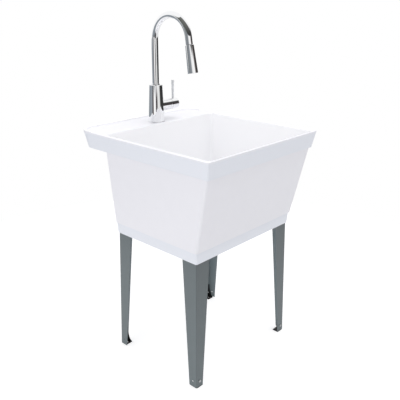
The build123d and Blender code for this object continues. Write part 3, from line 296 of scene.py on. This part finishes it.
# ------------------------------------------------------------------ finishes
def painted_light_in_basin(f, x, y, z):
    """1 on the basin's inner faces and on the deck's ridge, 0 elsewhere: where the plastic is painted paler,
    as painted light.
    """
    side = f.node("ShaderNodeMath", {"operation": "ABSOLUTE"}, x)
    down = (RIM_Z - z) / BASIN_DEPTH
    blur = 0.002
    across = (BASIN_SIDE - down * SIDE_LEAN - side).over(0.0, blur)
    front = (y + BASIN_FRONT - down * FRONT_LEAN).over(0.0, blur)
    back = (BASIN_BACK - down * BACK_LEAN - y).over(0.0, blur)
    basin = across * front * back * z.over(BASIN_FLOOR_Z, blur)
    return (basin + z.over(RIDGE_Z, 0.0008)).clamped()


def moulded_plastic_painted_light(s):
    """Tub: glossy white moulding with a fine skin and slow waves in its large walls. The outer band and the
    skirt are painted cooler and a little darker as painted shade, and the basin's inside and the deck's
    ridge are painted paler as painted light.
    """
    f = Finish("moulded_plastic_painted_light")
    slow = f.noise(s.ripple, 1.5)
    cloud = f.noise(s.ripple * 0.35, 3.0)
    grain = f.noise(s.grain, 3.0, 0.6)
    x, y, z = f.axes()
    foot, top = BAND_Z
    # Painted shade: the outer band under the rim and the skirt are painted cooler and a little darker
    band_painted_shade = z.over(foot, 0.002) - z.over(top, 0.010) + 1.0 - z.over(SKIRT_Z, 0.002)
    tone = f.mixed(cloud, tinted(s.plastic, 0.985), tinted(s.plastic, 1.012))
    tone = f.mixed(band_painted_shade, tone, tuple(c * k for c, k in zip(s.plastic, (0.945, 0.975, 0.995))))
    # Painted light: the basin's inner faces and the deck's ridge take the paler inside colour
    tone = f.mixed(painted_light_in_basin(f, x, y, z), tone, s.inside)
    normal = f.bump(grain, 0.06, 0.0003, f.bump(slow, 0.10, 0.004))
    return f.surface(
        Base_Color=tone, Roughness=s.gloss + (grain - 0.5) * 0.10 + (cloud - 0.5) * 0.06, Normal=normal,
        IOR=1.49, Specular_IOR_Level=0.5,
    )


def leg_paint_with_painted_light(s):
    """Legs: grey powder paint with orange peel and faint vertical streaks, with painted shade towards the
    top and on the front legs' front faces, and painted light that makes the faces inside the angle paler.
    """
    f = Finish("leg_paint_with_painted_light")
    peel = f.noise(0.0016, 2.0)
    streak = f.noise(0.02, 3.0, 0.6, (1.0, 1.0, 0.12))
    tone = f.mixed(streak, tinted(s.paint, 0.95), tinted(s.paint, 1.06))
    x, y, z = f.axes()
    # Painted shade: the colour darkens by up to 14 percent towards the top of the legs, under the tub
    tone = f.mixed((z / LEG_TOP_Z).clamped(), tone, tinted(s.paint, 0.86))
    across, along, _ = f.axes(f.node("ShaderNodeTexCoord", out="Normal"))
    # Painted shade: the front faces of the front legs are painted darker, more so higher up
    front = (0.0 - along).over(0.5, 0.2) * (0.0 - y).over(0.05, 0.05)
    tone = f.mixed(front * (0.14 + z * 0.16), tone, (0.0, 0.0, 0.0))
    # Painted light: the faces inside each angle of the legs are painted paler
    inner = (0.0 - across * x).over(0.1, 0.05) + (0.0 - along * y).over(0.1, 0.05)
    tone = f.mixed(inner.clamped(), tone, tinted(s.paint, 1.30))
    return f.surface(
        Base_Color=tone, Roughness=s.gloss + (peel - 0.5) * 0.12, Normal=f.bump(peel, 0.12, 0.0004),
        Coat_Weight=0.15, Coat_Roughness=0.25,
    )


def bracket_paint(s):
    f = Finish("bracket_paint")
    peel = f.noise(0.0012, 2.0)
    scuff = f.ramp(f.noise(0.006, 5.0, 0.7), (0.0, 0.0), (0.62, 0.0), (0.74, 1.0))
    tone = f.mixed(scuff, s.bracket, tinted(s.bracket, 3.2))
    return f.surface(Base_Color=tone, Roughness=0.36 + scuff * 0.2, Normal=f.bump(peel, 0.15, 0.0003))


def zinc_plate(s):
    """Screws and nuts: bright zinc with small mottles."""
    f = Finish("zinc_plate")
    mottle = f.noise(0.0012, 3.0)
    tone = f.mixed(mottle, tinted(s.screw, 0.86), tinted(s.screw, 1.1))
    return f.surface(Base_Color=tone, Metallic=1.0, Roughness=0.28 + mottle * 0.14)


def chrome_plate(s):
    """Tap: mirror chrome with the faintest film, so the mirror isn't perfect."""
    f = Finish("chrome_plate")
    film = f.noise(0.018, 4.0, 0.6)
    tone = f.mixed(film, tinted(s.chrome, 0.985), s.chrome)
    return f.surface(Base_Color=tone, Metallic=1.0, Roughness=s.polish + film * 0.03)


def satin_chrome(s):
    """Lever: chrome with a brushed grain that runs along it."""
    f = Finish("satin_chrome")
    brushed = f.noise(0.0006, 2.0, 0.5, (1.0, 1.0, 0.03))
    tone = f.mixed(brushed, tinted(s.satin, 0.94), tinted(s.satin, 1.04))
    return f.surface(Base_Color=tone, Metallic=0.4, Roughness=0.32 + brushed * 0.08)


def turned_metal(name, base, ring, rough):
    """Metal cut on a lathe: fine rings along its axis and a slow tarnish."""
    f = Finish(name)
    rings = f.noise(ring, 2.0, 0.5, (0.02, 0.02, 1.0))
    tarnish = f.noise(0.012, 4.0, 0.6)
    tone = f.mixed(tarnish, tinted(base, 0.82), tinted(base, 1.08))
    return f.surface(
        Base_Color=tone, Metallic=1.0, Roughness=rough + tarnish * 0.12, Normal=f.bump(rings, 0.12, 0.0002)
    )


def plain_plastic(name, base, rough, grain, depth=0.12):
    f = Finish(name)
    fine = f.noise(grain, 3.0, 0.6)
    cloud = f.noise(grain * 18, 2.0)
    tone = f.mixed(cloud, tinted(base, 0.93), tinted(base, 1.06))
    return f.surface(
        Base_Color=tone, Roughness=rough + (fine - 0.5) * 0.12, Normal=f.bump(fine, depth, grain * 0.3)
    )


def braided_hose():
    """Hose: dark nylon braid, drawn as two crossing sets of slanting threads."""
    f = Finish("braided_hose")
    where = f.place(turn=(math.radians(10), 0, 0))
    x, y, z = f.axes(where)
    turn = f.node("ShaderNodeMath", {"operation": "ARCTAN2"}, y, x)
    cross = None
    for lean in (-1.0, 1.0):
        thread = f.node("ShaderNodeMath", {"operation": "SINE"}, turn * 8.0 + z * (lean * 2600.0))
        if cross is None:
            cross = thread
        else:
            cross = f.node("ShaderNodeMath", {"operation": "MAXIMUM"}, cross, thread)
    tone = f.mixed((cross * 0.5 + 0.5).clamped(), (0.010, 0.010, 0.011), (0.075, 0.077, 0.08))
    return f.surface(Base_Color=tone, Roughness=0.5, Normal=f.bump(cross, 0.5, 0.0004))


def finishes():
    """Every material, under the record's slot it belongs to."""
    if not FINISHES:
        scene = bpy.context.scene
        tub, legs, tap = scene.sink_tub, scene.sink_legs, scene.sink_tap
        FINISHES.update(
            white_plastic=moulded_plastic_painted_light(tub),
            leg_steel=leg_paint_with_painted_light(legs),
            bracket_steel=bracket_paint(legs),
            screw_steel=zinc_plate(legs),
            chrome=chrome_plate(tap),
            satin=satin_chrome(tap),
            brass=turned_metal("turned_brass", tap.brass, 0.0005, 0.24),
            copper=turned_metal("drawn_copper", tap.copper, 0.002, 0.22),
            stainless=turned_metal("turned_stainless", (0.62, 0.62, 0.63), 0.0006, 0.22),
            rubber=plain_plastic("black_rubber", (0.028, 0.028, 0.029), 0.62, 0.0008),
            grey_rubber=plain_plastic("grey_rubber", (0.16, 0.165, 0.17), 0.58, 0.0007),
            black_plastic=plain_plastic("black_plastic", (0.022, 0.022, 0.024), 0.42, 0.0006),
            pipe_plastic=plain_plastic("pipe_plastic", (0.72, 0.72, 0.70), 0.34, 0.0014, 0.08),
            ceramic=plain_plastic("lapped_ceramic", (0.78, 0.77, 0.74), 0.2, 0.0005, 0.03),
        )
    return FINISHES


FINISHES = {}


# ------------------------------------------------------------------ modelling helpers
def deselect():
    if bpy.context.object and bpy.context.object.mode != "OBJECT":
        bpy.ops.object.mode_set(mode="OBJECT")
    bpy.ops.object.select_all(action="DESELECT")


def pick(piece):
    """Make one piece the only selected and active one."""
    deselect()
    piece.select_set(True)
    bpy.context.view_layer.objects.active = piece


def edit(piece):
    pick(piece)
    bpy.ops.object.mode_set(mode="EDIT")
    bpy.ops.mesh.select_all(action="SELECT")


def done(piece):
    bpy.ops.object.mode_set(mode="OBJECT")
    return piece


def settle(piece, place=None):
    """Put a piece where it belongs and leave that place in its mesh."""
    pick(piece)
    if place is not None:
        piece.matrix_world = place
    bpy.ops.object.transform_apply(location=True, rotation=True, scale=True)
    return piece


def smooth(piece, angle=35.0):
    """Smooth shading that leaves flat faces flat and sharp corners sharp."""
    pick(piece)
    bpy.ops.object.shade_smooth_by_angle(angle=math.radians(angle), keep_sharp_edges=False)
    evened = piece.modifiers.new("even_shading", "WEIGHTED_NORMAL")
    evened.weight = 80
    evened.keep_sharp = True
    bpy.ops.object.modifier_apply(modifier=evened.name)
    return piece


def rounded(piece, width, segments=2, angle=30.0):
    """Round every edge sharper than angle."""
    pick(piece)
    bevel = piece.modifiers.new("edge_rounding", "BEVEL")
    bevel.width = width
    bevel.segments = segments
    bevel.limit_method = "ANGLE"
    bevel.angle_limit = math.radians(angle)
    bevel.use_clamp_overlap = True
    bpy.ops.object.modifier_apply(modifier=bevel.name)
    return piece


def paint(piece, material):
    piece.data.materials.clear()
    piece.data.materials.append(material)
    return piece


def fitted(piece, body, slot, *nodes):
    """Finish a new piece: its material from its slot's finish, its body, and the CAD nodes it stands for,
    which are hidden.
    """
    if not piece.data.materials:
        paint(piece, finishes()[slot])
    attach(piece, body)
    if nodes:
        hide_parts(*nodes)
    return piece


def dressed(node, edge=None, segments=2, flat=1.0):
    """A cleaned copy of a CAD node with its edges rounded, standing in for that node."""
    piece = bpy.data.objects.new(node + "_dressed", NODES[node].data.copy())
    bpy.context.scene.collection.objects.link(piece)
    edit(piece)
    bpy.ops.mesh.customdata_custom_splitnormals_clear()
    bpy.ops.mesh.remove_doubles(threshold=2e-6)
    bpy.ops.mesh.dissolve_limited(angle_limit=math.radians(flat))
    done(piece)
    if edge:
        rounded(piece, edge, segments)
    smooth(piece)
    paint(piece, finishes()[SLOT_OF[node]])
    return fitted(piece, BODY_OF[node], SLOT_OF[node], node)


def kept(*nodes):
    """CAD nodes whose shape is right: they stay, with a better finish."""
    for node in nodes:
        for place in NODES[node].material_slots:
            place.material = finishes()[SLOT_OF[node]]


def in_metres(profile):
    return [(radius * MM, height * MM) for radius, height in profile]


def hoop(inner, outer, foot, height):
    """Closed profile of a flat ring."""
    top = foot + height
    return in_metres([(inner, foot), (outer, foot), (outer, top), (inner, top), (inner, foot)])


def eased(points, radius, steps=3):
    """Profile with its inner corners rounded."""
    result = [points[0]]
    for before, corner, after in zip(points, points[1:], points[2:]):
        a, b, c = Vector(before), Vector(corner), Vector(after)
        reach = min(radius, (a - b).length * 0.45, (c - b).length * 0.45)
        start, end = b + (a - b).normalized() * reach, b + (c - b).normalized() * reach
        for step in range(steps + 1):
            t = step / steps
            result.append(tuple((1 - t) ** 2 * start + 2 * t * (1 - t) * b + t ** 2 * end))
    result.append(points[-1])
    return result


def turned(name, profile, place, rounds, angle=35.0):
    """Lathe work: a ring is extruded and resized along a profile of (radius, height), in metres."""
    deselect()
    first = profile[0]
    bpy.ops.mesh.primitive_circle_add(
        vertices=rounds, radius=first[0], fill_type="NOTHING", location=(0, 0, first[1])
    )
    piece = bpy.context.object
    piece.name = piece.data.name = name
    settle(piece)
    edit(piece)
    for (r0, z0), (r1, z1) in zip(profile, profile[1:]):
        bpy.ops.mesh.extrude_region_move(TRANSFORM_OT_translate={"value": (0, 0, z1 - z0)})
        bpy.ops.transform.resize(value=(r1 / r0, r1 / r0, 1), center_override=(0, 0, z1))
    bpy.ops.mesh.select_all(action="SELECT")
    bpy.ops.mesh.remove_doubles(threshold=1e-6)
    bpy.ops.mesh.select_all(action="DESELECT")
    bpy.ops.mesh.select_non_manifold()
    bpy.ops.mesh.fill_holes(sides=0)
    bpy.ops.mesh.select_all(action="SELECT")
    bpy.ops.mesh.normals_make_consistent(inside=False)
    done(piece)
    settle(piece, place)
    return smooth(piece, angle)


def upright(x, y, z=0.0):
    return Matrix.Translation((x, y, z))


def on_barrel():
    """Turned along +Z from the tap's axis, laid along +X on the barrel's axis."""
    return Matrix.Translation((*TAP, BARREL_Z)) @ Matrix.Rotation(math.radians(90), 4, "Y")


def hung():
    """Turned along +Z, hanging downwards from the joint under the spout."""
    joint = Matrix.Translation(SPOUT_END) @ Matrix.Rotation(math.radians(END_TILT), 4, "X")
    return joint @ Matrix.Translation((0, 0, -HEAD_JOINT)) @ Matrix.Rotation(math.radians(180), 4, "X")


# ------------------------------------------------------------------ stage
GREY_PANEL = (0.27, 0.30, 0.33)


def room_seen_in_metal(f, axes):
    """What polished metal mirrors: a studio with grey, dark and white panels round it.

    Each ramp goes once round the room: 0 is behind the sink, 0.25 at its left and 0.5 in front of it.
    """
    x, y, z = axes
    turn = f.node("ShaderNodeMath", {"operation": "ARCTAN2"}, y, x) / (2 * math.pi) - BEHIND / 360.0
    turn = f.node("ShaderNodeMath", {"operation": "FRACT"}, turn)
    level = f.ramp(
        turn,
        (0.00, 1.0), (0.085, 1.0), (0.10, GREY_PANEL), (0.24, GREY_PANEL), (0.31, (0.36, 0.39, 0.43)),
        (0.335, 0.11), (0.385, (0.09, 0.07, 0.07)), (0.40, (1.0, 0.99, 0.98)), (0.475, 1.0),
        (0.50, (0.06, 0.05, 0.05)), (0.545, (0.05, 0.04, 0.045)), (0.565, (0.82, 0.82, 0.80)),
        (0.66, (0.80, 0.81, 0.80)), (0.685, 0.04), (0.92, 0.04), (0.94, 1.0),
    )
    raised = f.ramp(
        turn,
        (0.00, 1.0), (0.247, 1.0), (0.262, (0.17, 0.18, 0.17)), (0.34, (0.23, 0.25, 0.27)),
        (0.445, (0.26, 0.28, 0.30)), (0.485, 0.86), (0.57, 1.0), (0.63, 1.0), (0.665, (0.42, 0.40, 0.39)),
        (0.70, (0.07, 0.06, 0.06)), (0.91, 0.03), (0.95, 1.0),
    )
    dusk = f.ramp(turn, (0.25, (0.11, 0.125, 0.11)), (0.42, (0.09, 0.10, 0.09)), (0.50, 0.05), (0.74, 0.05))
    dusk = f.mixed((z / 0.6 - 0.67).clamped(), dusk, (0.19, 0.19, 0.18))
    panel = (turn - z * 0.11).over(0.236, 0.012) * (0.895 - turn - z * 0.20).over(0.0, 0.05)
    above = f.mixed(panel, (1.0, 1.0, 1.0), dusk)
    under = f.ramp(
        turn,
        (0.00, 1.0), (0.085, 1.0), (0.10, GREY_PANEL), (0.44, GREY_PANEL), (0.49, 0.07), (0.61, 0.07),
        (0.67, 0.80), (1.0, 0.90),
    )
    seen = f.mixed(z.over(-0.065, 0.03), level, raised)
    seen = f.mixed(z.over(0.270, 0.02), seen, above)
    return f.mixed((0.0 - z).over(0.175, 0.03), seen, under)


def surroundings(s):
    """World: even light, white where the camera looks, and the studio's panels where metal mirrors it."""
    world = bpy.data.worlds.new("studio")
    world.use_nodes = True
    bpy.context.scene.world = world
    f = Finish("studio", world.node_tree)
    path = f.node("ShaderNodeLightPath").socket.node.outputs
    camera, mirror, through = (
        Value(f, path[name]) for name in ("Is Camera Ray", "Is Glossy Ray", "Is Transmission Ray")
    )
    where = f.node("ShaderNodeTexCoord", out="Generated")
    room = room_seen_in_metal(f, f.axes(where))
    seen = f.mixed(mirror, (s.sky, s.sky, s.sky * 1.01), room)
    seen = f.mixed((camera + through).clamped(), seen, (1.0, 1.0, 1.0))
    shade = f.node("ShaderNodeBackground", None, seen, 1.0)
    f.node("ShaderNodeOutputWorld", None, Surface=shade)


def floor_finish():
    """Pale floor that the camera sees as white, apart from the sink's shadow."""
    f = Finish("pale_floor")
    fine = f.noise(0.004, 3.0)
    matt = f.node("ShaderNodeBsdfDiffuse", None, f.mixed(fine, (0.84, 0.84, 0.84), (0.87, 0.87, 0.87)))
    glow = f.node("ShaderNodeEmission", None, (1.0, 1.0, 1.0, 1.0), 1.55)
    camera = Value(f, f.node("ShaderNodeLightPath").socket.node.outputs["Is Camera Ray"])
    f.node("ShaderNodeOutputMaterial", None, f.node("ShaderNodeMixShader", None, camera * 0.42, matt, glow))
    return f.material


def soft_light(name, place, aim, size, power):
    lamp = bpy.data.lights.new(name, "AREA")
    lamp.shape = "DISK"
    lamp.size = size
    lamp.energy = power
    held = bpy.data.objects.new(name, lamp)
    held.location = place
    held.rotation_euler = (Vector(aim) - Vector(place)).to_track_quat("-Z", "Y").to_euler()
    held.visible_glossy = False
    bpy.context.scene.collection.objects.link(held)


class SINK_OT_stage(bpy.types.Operator):
    """Pale floor, even studio light and the camera"""
    bl_idname = "sink.stage"
    bl_label = "Stage and camera"

    def execute(self, context):
        s = context.scene.sink_stage
        deselect()
        bpy.ops.mesh.primitive_circle_add(
            vertices=96, radius=s.floor, fill_type="NGON", location=(0, 0, -0.0004)
        )
        floor = context.object
        floor.name = floor.data.name = "floor"
        edit(floor)
        bpy.ops.mesh.inset(thickness=s.floor * 0.5)
        done(floor)
        settle(floor)
        paint(floor, floor_finish())
        surroundings(s)
        soft_light("key_light", (-3.1, -0.5, 2.0), (0, 0, 0.7), 2.4, s.key)
        soft_light("top_light", (0.2, -0.4, 3.4), (0, 0, 0.85), 2.4, s.top)
        lens = bpy.data.cameras.new("camera")
        lens.lens, lens.sensor_width, lens.sensor_fit = 50.0, 36.0, "AUTO"
        lens.clip_start, lens.clip_end = 0.05, 50.0
        camera = bpy.data.objects.new("camera", lens)
        camera.location = CAMERA_PLACE
        camera.rotation_euler = tuple(math.radians(a) for a in CAMERA_TURN)
        context.scene.collection.objects.link(camera)
        context.scene.camera = camera
        context.scene.view_settings.view_transform = "Standard"
        return {"FINISHED"}


# ------------------------------------------------------------------ tub and legs
class SINK_OT_tub(bpy.types.Operator):
    """Moulded tub with its deck, skirt and ribs"""
    bl_idname = "sink.tub"
    bl_label = "Tub"

    def execute(self, context):
        dressed("tub", edge=context.scene.sink_tub.edge, segments=3)
        return {"FINISHED"}


class SINK_OT_legs(bpy.types.Operator):
    """Four sheet-steel legs with their floor brackets"""
    bl_idname = "sink.legs"
    bl_label = "Legs and brackets"

    def execute(self, context):
        edge = context.scene.sink_legs.edge
        for row in ("front", "back"):
            for hand in ("left", "right"):
                dressed(f"leg_{row}_{hand}", edge=edge)
                dressed(f"foot_bracket_{row}_{hand}", edge=edge)
        return {"FINISHED"}


class SINK_OT_fasteners(bpy.types.Operator):
    """Screws and nuts of the legs"""
    bl_idname = "sink.fasteners"
    bl_label = "Screws and nuts"

    def execute(self, context):
        for node in ("leg_screws", "foot_screws", "foot_nuts"):
            dressed(node, edge=0.00015)
        return {"FINISHED"}


# ------------------------------------------------------------------ waste
class SINK_OT_waste(bpy.types.Operator):
    """Waste, tailpiece, their nuts and the stopper"""
    bl_idname = "sink.waste"
    bl_label = "Waste and stopper"

    def execute(self, context):
        for node in ("drain_body", "drain_locknut", "tailpiece", "tailpiece_nut"):
            dressed(node, edge=0.0004)
        dressed("drain_stopper")
        kept("drain_upper_gasket", "drain_lower_gasket", "tailpiece_washer")
        return {"FINISHED"}


# ------------------------------------------------------------------ tap
def threaded(root, crest, low, high, pitch):
    """Zigzag of a thread, from its foot to its top."""
    points = []
    for index in range(round((high - low) / pitch)):
        z = low + index * pitch
        points += [(root, z), (crest, z + pitch * 0.5)]
    return points + [(root, high)]


class SINK_OT_tap_body(bpy.types.Operator):
    """Tap body on its base ring, with the shank, washers, nut and inlets under the deck"""
    bl_idname = "sink.tap_body"
    bl_label = "Tap body"

    def execute(self, context):
        rounds = context.scene.sink_tap.rounds
        dressed("tap_body", edge=0.0003, flat=0.2)
        ring = eased(hoop(16.3, 32.5, 851, 3), 0.0009)
        made = turned("tap_base_ring_turned", ring, upright(*TAP), rounds)
        fitted(made, "base", "chrome", "tap_base_ring")
        thread = threaded(15.3, 16.0, 785.5, 842.5, 1.5)
        shank = [(13.25, 785), (15.3, 785), *thread, (16.0, 845), (16.0, 868), (13.25, 868), (13.25, 785)]
        made = turned("tap_shank_threaded", in_metres(shank), upright(*TAP), 64, 20)
        fitted(made, "base", "brass", "tap_shank")
        for node, side in (("hot_inlet", -1), ("cold_inlet", 1)):
            tail = threaded(4.95, 5.55, 777.4, 784.4, 0.75)
            pipe = [(3.5, 777), (4.95, 777), *tail, (4.75, 784.7), (4.75, 878), (3.5, 878), (3.5, 777)]
            place = upright(TAP[0], TAP[1] + side * 6.5 * MM)
            made = turned(node + "_tail", in_metres(pipe), place, 40, 20)
            fitted(made, "base", "copper", node)
        dressed("tap_mounting_nut", edge=0.0003)
        dressed("tap_steel_washer", edge=0.0002)
        dressed("tap_rubber_washer", edge=0.0004)
        kept("tap_base_seal")
        return {"FINISHED"}


class SINK_OT_spout(bpy.types.Operator):
    """Gooseneck spout with its swivel ring"""
    bl_idname = "sink.spout"
    bl_label = "Spout"

    def execute(self, context):
        s = context.scene.sink_tap
        deselect()
        bpy.ops.mesh.primitive_circle_add(
            vertices=s.rounds, radius=s.tube / 2, fill_type="NOTHING", location=(*TAP, SPOUT_FOOT_Z)
        )
        spout = context.object
        spout.name = spout.data.name = "spout_bent"
        settle(spout)
        edit(spout)
        rise = ARC_CENTRE[1] - SPOUT_FOOT_Z
        bpy.ops.mesh.extrude_region_move(TRANSFORM_OT_translate={"value": (0, 0, rise)})
        bpy.ops.mesh.spin(
            steps=ARC_STEPS, angle=-math.radians(ARC_SWEEP), center=(0, *ARC_CENTRE), axis=(1, 0, 0),
            dupli=False,
        )
        down = Matrix.Rotation(math.radians(ARC_SWEEP), 3, "X") @ Vector((0, 0, SPOUT_DROP))
        bpy.ops.mesh.extrude_region_move(TRANSFORM_OT_translate={"value": down})
        bpy.ops.mesh.select_all(action="SELECT")
        bpy.ops.mesh.remove_doubles(threshold=1e-6)
        bpy.ops.mesh.normals_make_consistent(inside=False)
        done(spout)
        wall = spout.modifiers.new("wall", "SOLIDIFY")
        wall.thickness = s.tube_wall
        wall.offset = -1.0
        bpy.ops.object.modifier_apply(modifier=wall.name)
        rounded(spout, 0.0003, 2, 60)
        smooth(spout, 40)
        fitted(spout, "spout", "chrome", "spout")
        ring = eased(hoop(13.0, 16.0, 992, 3), 0.0008)
        made = turned("swivel_ring_turned", ring, upright(*TAP), s.rounds)
        fitted(made, "base", "chrome", "swivel_ring")
        kept("swivel_bush", "spout_insert", "spout_orings", "docking_collar")
        return {"FINISHED"}


class SINK_OT_spray_head(bpy.types.Operator):
    """Pull-down spray head on its braided hose"""
    bl_idname = "sink.spray_head"
    bl_label = "Spray head and hose"

    def execute(self, context):
        s = context.scene.sink_tap
        outer = [(7.5, 0), (15.5, 0), (19.0, 97), (17.2, 97), (13.81, 3), (7.5, 3), (7.5, 0)]
        shell = turned("spray_head_turned", eased(in_metres(outer), 0.0011, 4), hung(), s.rounds)
        fitted(shell, "spray_head", "chrome", "spray_head_shell")
        self.hose(context, s.hose / 2)
        dressed("spray_face", edge=0.0003)
        dressed("spray_nozzles", edge=0.0002)
        kept("spray_docking_cone", "spray_water_core")
        return {"FINISHED"}

    def hose(self, context, radius):
        """Hose from the head up into the gooseneck."""
        deselect()
        bpy.ops.mesh.primitive_circle_add(vertices=48, radius=radius, fill_type="NOTHING")
        hose = context.object
        hose.name = hose.data.name = "spray_hose_braided"
        settle(hose, hung() @ Matrix.Translation((0, 0, HOSE_SEAT)))
        edit(hose)
        up = hung().to_3x3() @ Vector((0, 0, -1))
        runs = ((HOSE_SEAT + HEAD_JOINT, 2), (HOSE_STRETCH, 90), (SPOUT_DROP - HOSE_STRETCH, 2))
        for run, count in runs:
            for _ in range(count):
                bpy.ops.mesh.extrude_region_move(TRANSFORM_OT_translate={"value": up * (run / count)})
        bpy.ops.mesh.spin(
            steps=40, angle=math.radians(HOSE_SWEEP), center=(0, *ARC_CENTRE), axis=(1, 0, 0), dupli=False
        )
        bpy.ops.mesh.select_all(action="SELECT")
        bpy.ops.mesh.remove_doubles(threshold=1e-6)
        bpy.ops.mesh.select_all(action="DESELECT")
        bpy.ops.mesh.select_non_manifold()
        bpy.ops.mesh.fill_holes(sides=0)
        bpy.ops.mesh.select_all(action="SELECT")
        bpy.ops.mesh.normals_make_consistent(inside=False)
        done(hose)
        smooth(hose, 50)
        paint(hose, braided_hose())
        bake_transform(hose)
        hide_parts("spray_hose")


class SINK_OT_handle(bpy.types.Operator):
    """Side handle: dome, hub, lever and the mixer inside"""
    bl_idname = "sink.handle"
    bl_label = "Handle and mixer"

    def execute(self, context):
        for node in ("handle_dome", "handle_hub"):
            dressed(node, edge=0.0013, segments=3, flat=0.2)
        lever = dressed("handle_lever", flat=0.2)
        paint(lever, finishes()["satin"])
        dressed("handle_set_screw", edge=0.0002)
        kept(
            "mixer_cartridge", "mixer_disc", "mixer_rotor", "mixer_pivot_pin", "mixer_bonnet", "mixer_stem"
        )
        return {"FINISHED"}


# ------------------------------------------------------------------ add-on
STEPS = (
    SINK_OT_stage, SINK_OT_tub, SINK_OT_legs, SINK_OT_fasteners, SINK_OT_waste, SINK_OT_tap_body,
    SINK_OT_spout, SINK_OT_spray_head, SINK_OT_handle,
)
SETTINGS = {
    "sink_tub": SinkTubSettings, "sink_legs": SinkLegSettings, "sink_tap": SinkTapSettings,
    "sink_stage": SinkStageSettings,
}


class SINK_PT_panel(bpy.types.Panel):
    """Builds the laundry sink step by step"""
    bl_idname = "SINK_PT_panel"
    bl_label = "Laundry Sink"
    bl_space_type = "VIEW_3D"
    bl_region_type = "UI"
    bl_category = "Laundry Sink"

    def draw(self, context):
        column = self.layout.column()
        for step in STEPS:
            column.operator(step.bl_idname)
        for name, group in SETTINGS.items():
            for key in group.__annotations__:
                column.prop(getattr(context.scene, name), key)


def register():
    for kind in (*SETTINGS.values(), *STEPS, SINK_PT_panel):
        bpy.utils.register_class(kind)
    for name, group in SETTINGS.items():
        setattr(bpy.types.Scene, name, PointerProperty(type=group))


def unregister():
    for name in SETTINGS:
        delattr(bpy.types.Scene, name)
    for kind in reversed((*SETTINGS.values(), *STEPS, SINK_PT_panel)):
        bpy.utils.unregister_class(kind)


def main():
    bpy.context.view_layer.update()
    register()
    for step in STEPS:
        family, _, name = step.bl_idname.partition(".")
        getattr(getattr(bpy.ops, family), name)()


if __name__ == "__main__":
    main()
